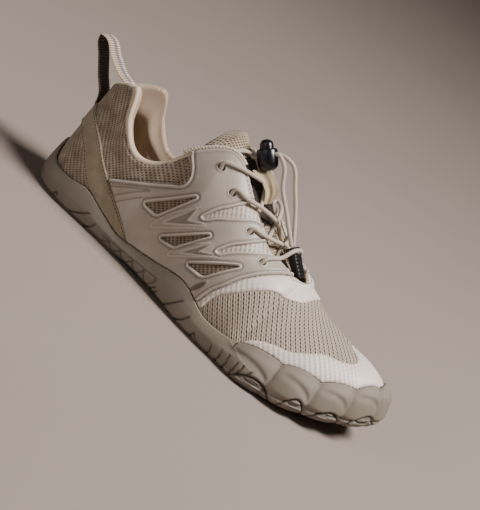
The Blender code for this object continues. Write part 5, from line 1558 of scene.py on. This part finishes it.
def makeStrap():
    r = np.linspace(-strap["end"], strap["end"], strap["columns"] + 1)
    p = sidePlace(r)
    top = smoothThrough(*np.array(strap["top"]).T, p)
    low = np.maximum(smoothThrough(*np.array(strap["bottom"]).T, p), overLip(p))
    top = np.maximum(top, low + 0.004)
    t = np.linspace(0.0, 1.0, strap["rows"])[None, :]
    w = low[:, None] * (1 - t) + top[:, None] * t
    rr = np.broadcast_to(r[:, None], w.shape)
    tall = wallLength(rr, w)
    edge = np.minimum(tall - tall[:, :1], tall[:, -1:] - tall)
    height = strap["edge"] + (strap["height"] - strap["edge"]) * roundEdge(edge, strap["round"])
    points, faces = shell(offsetSkin(rr, w, height), offsetSkin(rr, w, strap["gap"]))
    makePiece("heelStrap", points, faces, [strapNubuck], "strap", "heel_strap",
              uv=np.tile(heelWeave(rr, w).reshape(-1, 2), (2, 1)), weld=0.004)


def filmPiece(name, node, edges, seams, plain):
    # a fused film on both sides, one sheet across the ridge and the toe tip; seams are not its edges
    outline = np.concatenate(edges)
    places, cells = flatPatch(outline, [], [], ringsAround(outline, (-0.5, -1.0)), films["spacing"])
    edge = np.min([strokeDistance(places, line) for i, line in enumerate(edges) if i not in seams], axis=0)
    p, w = unflat(places)
    shared = (p > 1.0 - 1e-6) | ((w > 0.9995) & (p >= throatBase - 1e-6))
    mirror = np.where(shared, np.arange(len(p)), len(p) + np.cumsum(~shared) - 1)
    cells = np.concatenate([cells, mirror[cells][:, ::-1]])
    ring = np.concatenate([p, 2.0 - p[~shared]])
    up, edge = (np.concatenate([values, values[~shared]]) for values in (w, edge))
    rounded = roundEdge(edge, films["edgeRound"])
    height = films["inner"] + films["edge"] + (films["height"] - films["inner"]) * rounded
    base, normal = skin(ring, up), skinNormal(ring, up)
    points, faces = shell(base + normal * height[:, None], base + normal * films["inner"], cells)
    ribs = 1.0 - smoothStep(*plain(sidePlace(ring), up))
    makePiece(name, points, faces, [film], "film", node, uv=np.tile(ribWeave(ring, up), (2, 1)),
              traits={"rib": np.tile(ribs, 2)})


def ridgeLine(start, end):
    p = np.arange(start, end, films["spacing"] / sideLength)[1:]
    return flat(p, np.ones_like(p))


def lipLine(start, end):
    p = np.linspace(start, end, max(3, round(abs(end - start) * sideLength / films["spacing"])))
    return flat(p, overLip(p))


def makeFilms():
    edge = flatLine(films["toeEdge"], films["spacing"])
    start = edge[0, 0] / sideLength
    edge = edge[edge[:, 1] > lipLine(start, 1.0)[0, 1] + films["overlap"]]
    tip = np.linspace(1.0, float(overLip(np.array([1.0]))[0]), 24)[:-1]
    filmPiece("toeFilm", "toe_overlay",
              [edge, ridgeLine(films["toeEdge"][-1][0], 1.0), flat(np.ones_like(tip), tip),
               lipLine(1.0, start)],
              (1, 2), lambda p, w: (*films["toePlain"], p))
    rear, front = (flatLine(films[key], films["spacing"]) for key in ("throatRear", "throatFront"))
    low = lipLine(films["throatRear"][-1][0], films["throatFront"][0][0])
    rear = rear[rear[:, 1] > low[0, 1] + films["overlap"]]
    front = front[front[:, 1] > low[-1, 1] + films["overlap"]]
    top = films["throatFront"][-1][0], films["throatRear"][0][0]
    bend = np.concatenate([[throatBase], np.arange(throatBase, top[1], -films["spacing"] / sideLength)[1:]])
    filmPiece("throatFilm", "throat_overlay",
              [rear, low, front, ridgeLine(throatBase, top[0])[::-1], flat(bend, np.ones_like(bend))],
              (3,), lambda p, w: (*films["throatPlain"], w))


makeStrap()
makeFilms()
print("layers ready")


# tongue, its keeper, the pull loop and the insole
tongueMesh = {
    "along": 120, "across": 40, "tuck": 0.8, "tuckRun": 2.5, "panelFrom": 112.0, "panelTo": 150.0,
    "panelHalf": 0.62, "sweep": 9.0, "sweepRun": 20.0, "fall": 11.0,
}
keeper = {
    "x": (120.0, 124.0, 130.0, 134.4, 138.6), "lift": (1.1, 5.2, 6.8, 5.6, 1.1),
    "width": (16.0, 14.0, 12.5, 12.0, 12.0), "thick": 1.2, "steps": 40, "across": 10,
    "tilt": 25.0, "shift": -2.5,
}
pull = {
    "route": ((4.2, 60.0), (3.4, 66.2), (-5.0, 77.0), (-13.0, 87.5), (-18.6, 94.6), (-19.0, 98.0),
              (-15.4, 98.6), (-4.0, 91.4), (8.0, 85.2), (13.5, 83.8), (16.8, 80.0), (17.4, 75.0)),
    "width": 16.0, "thick": 1.4, "step": 0.7, "across": 12, "bend": (0.026, 0.036), "bendRun": (12.0, 18.0),
}
insole = {"inset": 2.8, "thick": 3.5, "columns": 180, "cells": 16}


def makeTongue():
    x = np.linspace(tongueShape["x"][0], tongueShape["x"][-1], tongueMesh["along"] + 1)
    half, drop, thick = (tongueSize(key, x)[:, None, None] for key in ("half", "drop", "thick"))
    crown, normal = tongueLine(x)
    v = np.linspace(-1.0, 1.0, tongueMesh["across"] + 1)[None, :, None]
    side = np.array([0.0, 1.0, 0.0])
    outer = crown[:, None] + side * v * half - normal[:, None] * v**2 * drop
    tip = 1.0 - smoothStep(0.0, tongueMesh["sweepRun"], x - x[0])
    # its top edge runs back and down to the collar
    outer[..., 0] -= tongueMesh["sweep"] * tip[:, None] * v[..., 0] ** 2
    outer[..., 2] -= tongueMesh["fall"] * tip[:, None] * v[..., 0] ** 2
    edge = 1.0 - (1.0 - tongueShape["edge"]) * v**4
    inner = outer - normal[:, None] * thick * edge
    # the padded edge is drawn in along its seam
    run = np.minimum(np.abs(1.0 - np.abs(v)) * half, (x - x[0])[:, None, None] * 1.2)
    tuck = tongueMesh["tuck"] * (1.0 - roundEdge(run, tongueMesh["tuckRun"]))
    outer = outer - normal[:, None] * tuck
    points, faces = shell(outer, inner)
    uv = np.stack(np.broadcast_arrays((v * half)[..., 0], runAlong(crown)[:, None]), -1).reshape(-1, 2)
    middle = (x[1:] + x[:-1]) / 2
    vMid = np.abs((v[0, 1:, 0] + v[0, :-1, 0]) / 2)
    dark = (middle[:, None] > tongueMesh["panelFrom"]) & (vMid[None, :] < tongueMesh["panelHalf"])
    dark = dark & (middle[:, None] < tongueMesh["panelTo"])
    kind = np.zeros(len(faces), int)
    kind[:dark.size] = dark.ravel()
    kind[dark.size:2 * dark.size] = 2
    piece = makePiece("paddedTongue", points, faces, [tongueKnit, darkKnit, lining], "tongue", "tongue",
                      faceMaterial=kind, uv=np.tile(uv, (2, 1)))


def makeStrip(name, middle, normal, side, width, bend, look, material, slot, node):
    # a flat band with rounded edges; bend draws its sides back along x
    t = np.linspace(0.0, 1.0, look["across"] + 1)
    thick = look["thick"]
    bulge = roundEdge(np.minimum(t, 1.0 - t)[None, :] * width[:, None], thick / 2)
    over = (t - 0.5)[None, :] * width[:, None]
    offset = over[..., None] * side[:, None]
    offset[..., 0] += bend[:, None] * over**2
    lift = (normal * thick / 2)[:, None] * np.maximum(bulge, 0.15)[..., None]
    points, faces = shell(middle[:, None] + offset + lift, middle[:, None] + offset - lift)
    uv = np.stack(np.broadcast_arrays(t[None, :], runAlong(middle)[:, None]), -1).reshape(-1, 2)
    # the inside trait marks the inner face, which the webbing paints dark as painted shade
    makePiece(name, points, faces, [material], slot, node, uv=np.tile(uv, (2, 1)),
              traits={"inside": np.repeat([0.0, 1.0], len(uv))})


def makeLoops():
    x = np.linspace(keeper["x"][0], keeper["x"][-1], keeper["steps"] + 1)
    lift, width = (smoothThrough(keeper["x"], keeper[key], x) for key in ("lift", "width"))
    crown, normal = tongueLine(x)
    line = crown + normal * lift[:, None] + np.array([0.0, keeper["shift"], 0.0])
    normal = np.cross(np.gradient(line, axis=0), (0.0, 1.0, 0.0))
    normal /= np.linalg.norm(normal, axis=1, keepdims=True) * np.sign(normal[:, 2:3])
    tilt = math.radians(keeper["tilt"]) * (lift - lift.min())[:, None] / np.ptp(lift)
    across = np.array([0.0, 1.0, 0.0])
    side = np.cos(tilt) * across + np.sin(tilt) * normal
    normal = np.cos(tilt) * normal - np.sin(tilt) * across
    makeStrip("laceKeeper", line, normal, side, width, np.zeros(len(x)), keeper, keeperNubuck, "keeper",
              "tongue_loop")
    route = smoothPath(np.insert(np.array(pull["route"]), 1, 0.0, axis=1), pull["step"])
    tangent = np.gradient(route, axis=0)
    normal = unit(np.stack([-tangent[:, 2], tangent[:, 1], tangent[:, 0]], -1))
    run = np.arange(len(route)) * pull["step"]
    bend = pull["bend"][0] * (1.0 - smoothStep(0.0, pull["bendRun"][0], run))
    bend += pull["bend"][1] * (1.0 - smoothStep(0.0, pull["bendRun"][1], run[-1] - run))
    makeStrip("pullLoop", route, normal, np.tile(across, (len(route), 1)), np.full(len(route), pull["width"]),
              bend, pull, webbing, "webbing", "pull_loop")


def makeInsole():
    half = insole["columns"]
    p = np.linspace(0.0, 1.0, half + 1)
    sides = [feather(r) - outward(r) * insole["inset"] for r in (p, 2.0 - p)]
    t = np.linspace(0.0, 1.0, insole["cells"] + 1)[None, :, None]
    top = sides[0][:, None] * (1 - t) + sides[1][:, None] * t
    top[..., 2] = floorZ(top[..., 0]) + lastShape["bed"] + insole["thick"]
    under = top.copy()
    under[..., 2] -= insole["thick"]
    points, faces = shell(top, under)
    makePiece("insole", points, faces, [insoleCloth], "insole", "insole", weld=0.004)


makeTongue()
makeLoops()
makeInsole()
print("tongue, loops and insole ready")


# piping along the eyestay and collar front, and all stitches
piping = {
    "from": 0.332, "to": 0.434, "radius": 1.25, "lift": 0.9, "over": 0.9, "step": 0.6, "sides": 12,
    "plies": 2, "lay": 4.4, "swell": 0.16,
}
stitchRuns = {
    "strapTop": {"line": ((0.012, 0.722), (0.030, 0.712), (0.130, 0.520), (0.172, 0.492), (0.205, 0.458),
                          (0.240, 0.365), (0.276, 0.226), (0.318, 0.075)), "lift": 1.3, "thread": "dark"},
    "strapBottom": {"line": ((0.012, 0.552), (0.031, 0.546), (0.110, 0.400), (0.156, 0.270), (0.186, 0.200),
                             (0.219, 0.146), (0.250, 0.085)), "lift": 1.3, "thread": "dark"},
    "collarSeam": {"line": ((0.222, 0.520), (0.262, 0.690), (0.302, 0.745), (0.333, 0.712), (0.352, 0.706),
                            (0.355, 0.740), (0.349, 0.805), (0.338, 0.930)), "lift": 0.1, "thread": "dark"},
    "throatBend": {"line": ((0.610, 0.93), (0.630, 0.925), (0.648, 0.92), (0.662, 0.945), (0.668, 1.0)),
                   "lift": 0.95, "thread": "dark"},
    "collarDots": {"line": ((0.228, 0.478), (0.268, 0.630), (0.303, 0.683), (0.337, 0.650), (0.352, 0.648)),
                   "lift": 1.45, "thread": "pale"},
    "eyestay": {"line": ((0.436, 0.965), (0.448, 0.962), (0.460, 0.962), (0.472, 0.965)), "lift": 1.9,
                "thread": "pale"},
}
stitch = {"dark": (2.6, 1.9, 0.55), "pale": (2.2, 1.3, 0.6)}


def stitchTree():
    tree = bpy.data.node_groups.new("stitchRun", "GeometryNodeTree")
    sockets = {}
    for name, kind in (("Geometry", "Geometry"), ("Pitch", "Float"), ("Length", "Float"), ("Width", "Float"),
                       ("Thread", "Material")):
        made = tree.interface.new_socket(name, in_out="INPUT", socket_type="NodeSocket" + kind)
        sockets[name] = made.identifier
    tree.interface.new_socket("Geometry", in_out="OUTPUT", socket_type="NodeSocketGeometry")
    given = addNode(tree, "NodeGroupInput")
    line = addNode(tree, "GeometryNodeMeshToCurve", links={"Mesh": given.outputs["Geometry"]})
    points = addNode(tree, "GeometryNodeCurveToPoints", {"mode": "LENGTH"},
                     {"Curve": line, "Length": given.outputs["Pitch"]})
    bead = addNode(tree, "GeometryNodeMeshUVSphere", {"Segments": 6, "Rings": 5, "Radius": 0.5})
    size = addNode(tree, "ShaderNodeCombineXYZ", links={"X": given.outputs["Width"],
                                                        "Y": given.outputs["Width"],
                                                        "Z": given.outputs["Length"]})
    placed = addNode(tree, "GeometryNodeInstanceOnPoints",
                     links={"Points": points.outputs["Points"], "Instance": bead,
                            "Rotation": points.outputs["Rotation"], "Scale": size})
    real = addNode(tree, "GeometryNodeRealizeInstances", links={"Geometry": placed})
    dressed = addNode(tree, "GeometryNodeSetMaterial",
                      links={"Geometry": real, "Material": given.outputs["Thread"]})
    addNode(tree, "NodeGroupOutput", links={"Geometry": dressed})
    return tree, sockets


def makeStitches(thread, material):
    tree, sockets = stitchTree()
    points, edges = [], []
    for run in stitchRuns.values():
        if run["thread"] != thread:
            continue
        p, w = unflat(flatLine(run["line"], 0.6))
        for ring in (p, 2.0 - p):
            spots = offsetSkin(ring, w, run["lift"])
            start = len(points)
            points += list(spots)
            edges += [(start + i, start + i + 1) for i in range(len(spots) - 1)]
    mesh = bpy.data.meshes.new("stitchLines")
    mesh.from_pydata(toMetres(points).tolist(), edges, [])
    lines = bpy.data.objects.new("stitchLines", mesh)
    bpy.context.scene.collection.objects.link(lines)
    modifier = lines.modifiers.new("stitches", "NODES")
    modifier.node_group = tree
    for name, value in zip(("Pitch", "Length", "Width"), stitch[thread]):
        modifier[sockets[name]] = value * mm
    modifier[sockets["Thread"]] = material
    bpy.context.view_layer.update()
    seen = lines.evaluated_get(bpy.context.evaluated_depsgraph_get())
    name = thread + "Stitches"
    sewn = bpy.data.meshes.new_from_object(seen)
    sewn.name = name
    sewn.shade_smooth()
    bpy.data.objects.remove(lines)
    settle(name, sewn, shoeBody, "upper")


def makePiping():
    p = np.linspace(piping["from"], piping["to"], 40)
    for name, ring in (("pipingLateral", p), ("pipingMedial", 2.0 - p)):
        high = offsetSkin(ring, np.ones(len(p)), piping["lift"])
        rise = high - offsetSkin(ring, np.full(len(p), 0.97), piping["lift"])
        path = smoothPath(high + piping["over"] * unit(rise), piping["step"])
        shape = (piping[key] for key in ("radius", "sides", "plies", "lay", "swell"))
        points, cells, place = tubeMesh(path, *shape)
        makePiece(name, points, cells, [pipingCord], "upper", uv=place, weld=0.004)


makePiping()
makeStitches("dark", threadDark)
makeStitches("pale", threadPale)
print("piping and stitches ready")


# studio: a pale floor that runs up far behind, one soft key from above, one low fill
studio = {
    "floor": "9C8F88", "shade": "978A83", "flat": 3.0, "radius": 3.0, "wall": 4.0, "sides": 96,
    "key": {"from": (0.47, 0.02, 0.88), "distance": 2.0, "size": 0.8, "power": 72.0, "colour": "FFFAF5"},
    "fill": {"from": (-0.35, -0.85, 0.4), "distance": 2.4, "size": 2.0, "power": 10.0, "colour": "FFFAF5"},
    "world": "908882", "worldStrength": 0.3,
}


def makeStudio():
    profile = [(0.0, 0.0), (0.5, 0.0), (studio["flat"], 0.0)]
    for angle in np.linspace(0.0, math.pi / 2, 24)[1:]:
        profile.append((studio["flat"] + studio["radius"] * math.sin(angle),
                        studio["radius"] * (1 - math.cos(angle))))
    profile.append((studio["flat"] + studio["radius"], studio["radius"] + studio["wall"]))
    points, faces = lathe(profile, studio["sides"])
    mesh = bpy.data.meshes.new("paleFloor")
    mesh.from_pydata(points.tolist(), [], faces.tolist())
    mesh.shade_smooth()
    material, tree, shader, place = startMaterial("mattPaperFloor", {"Roughness": 0.9})
    grain = addNode(tree, "ShaderNodeTexNoise", {"Scale": 3.0, "Detail": 2.0}, {"Vector": place})
    tone = addNode(tree, "ShaderNodeValToRGB", {"stops": ((0.2, studio["shade"]), (0.8, studio["floor"]))},
                   {"Fac": grain})
    mesh.materials.append(wire(material, tree, shader, tone))
    floor = bpy.data.objects.new("paleFloor", mesh)
    bpy.context.scene.collection.objects.link(floor)
    for name in ("key", "fill"):
        light = studio[name]
        data = bpy.data.lights.new(name, "AREA")
        data.shape = "DISK"
        data.size = light["size"]
        data.energy = light["power"]
        data.color = linearColour(light["colour"])[:3]
        lamp = bpy.data.objects.new(name, data)
        aim = Vector(light["from"]).normalized()
        turn = aim.to_track_quat("Z", "Y").to_matrix().to_4x4()
        lamp.matrix_world = Matrix.Translation(Vector(shot["target"]) + aim * light["distance"]) @ turn
        bpy.context.scene.collection.objects.link(lamp)
    world = bpy.data.worlds.new("studioAir")
    world.use_nodes = True
    air = world.node_tree.nodes["Background"]
    air.inputs["Color"].default_value = linearColour(studio["world"])
    air.inputs["Strength"].default_value = studio["worldStrength"]
    bpy.context.scene.world = world


makeStudio()
print("studio ready")
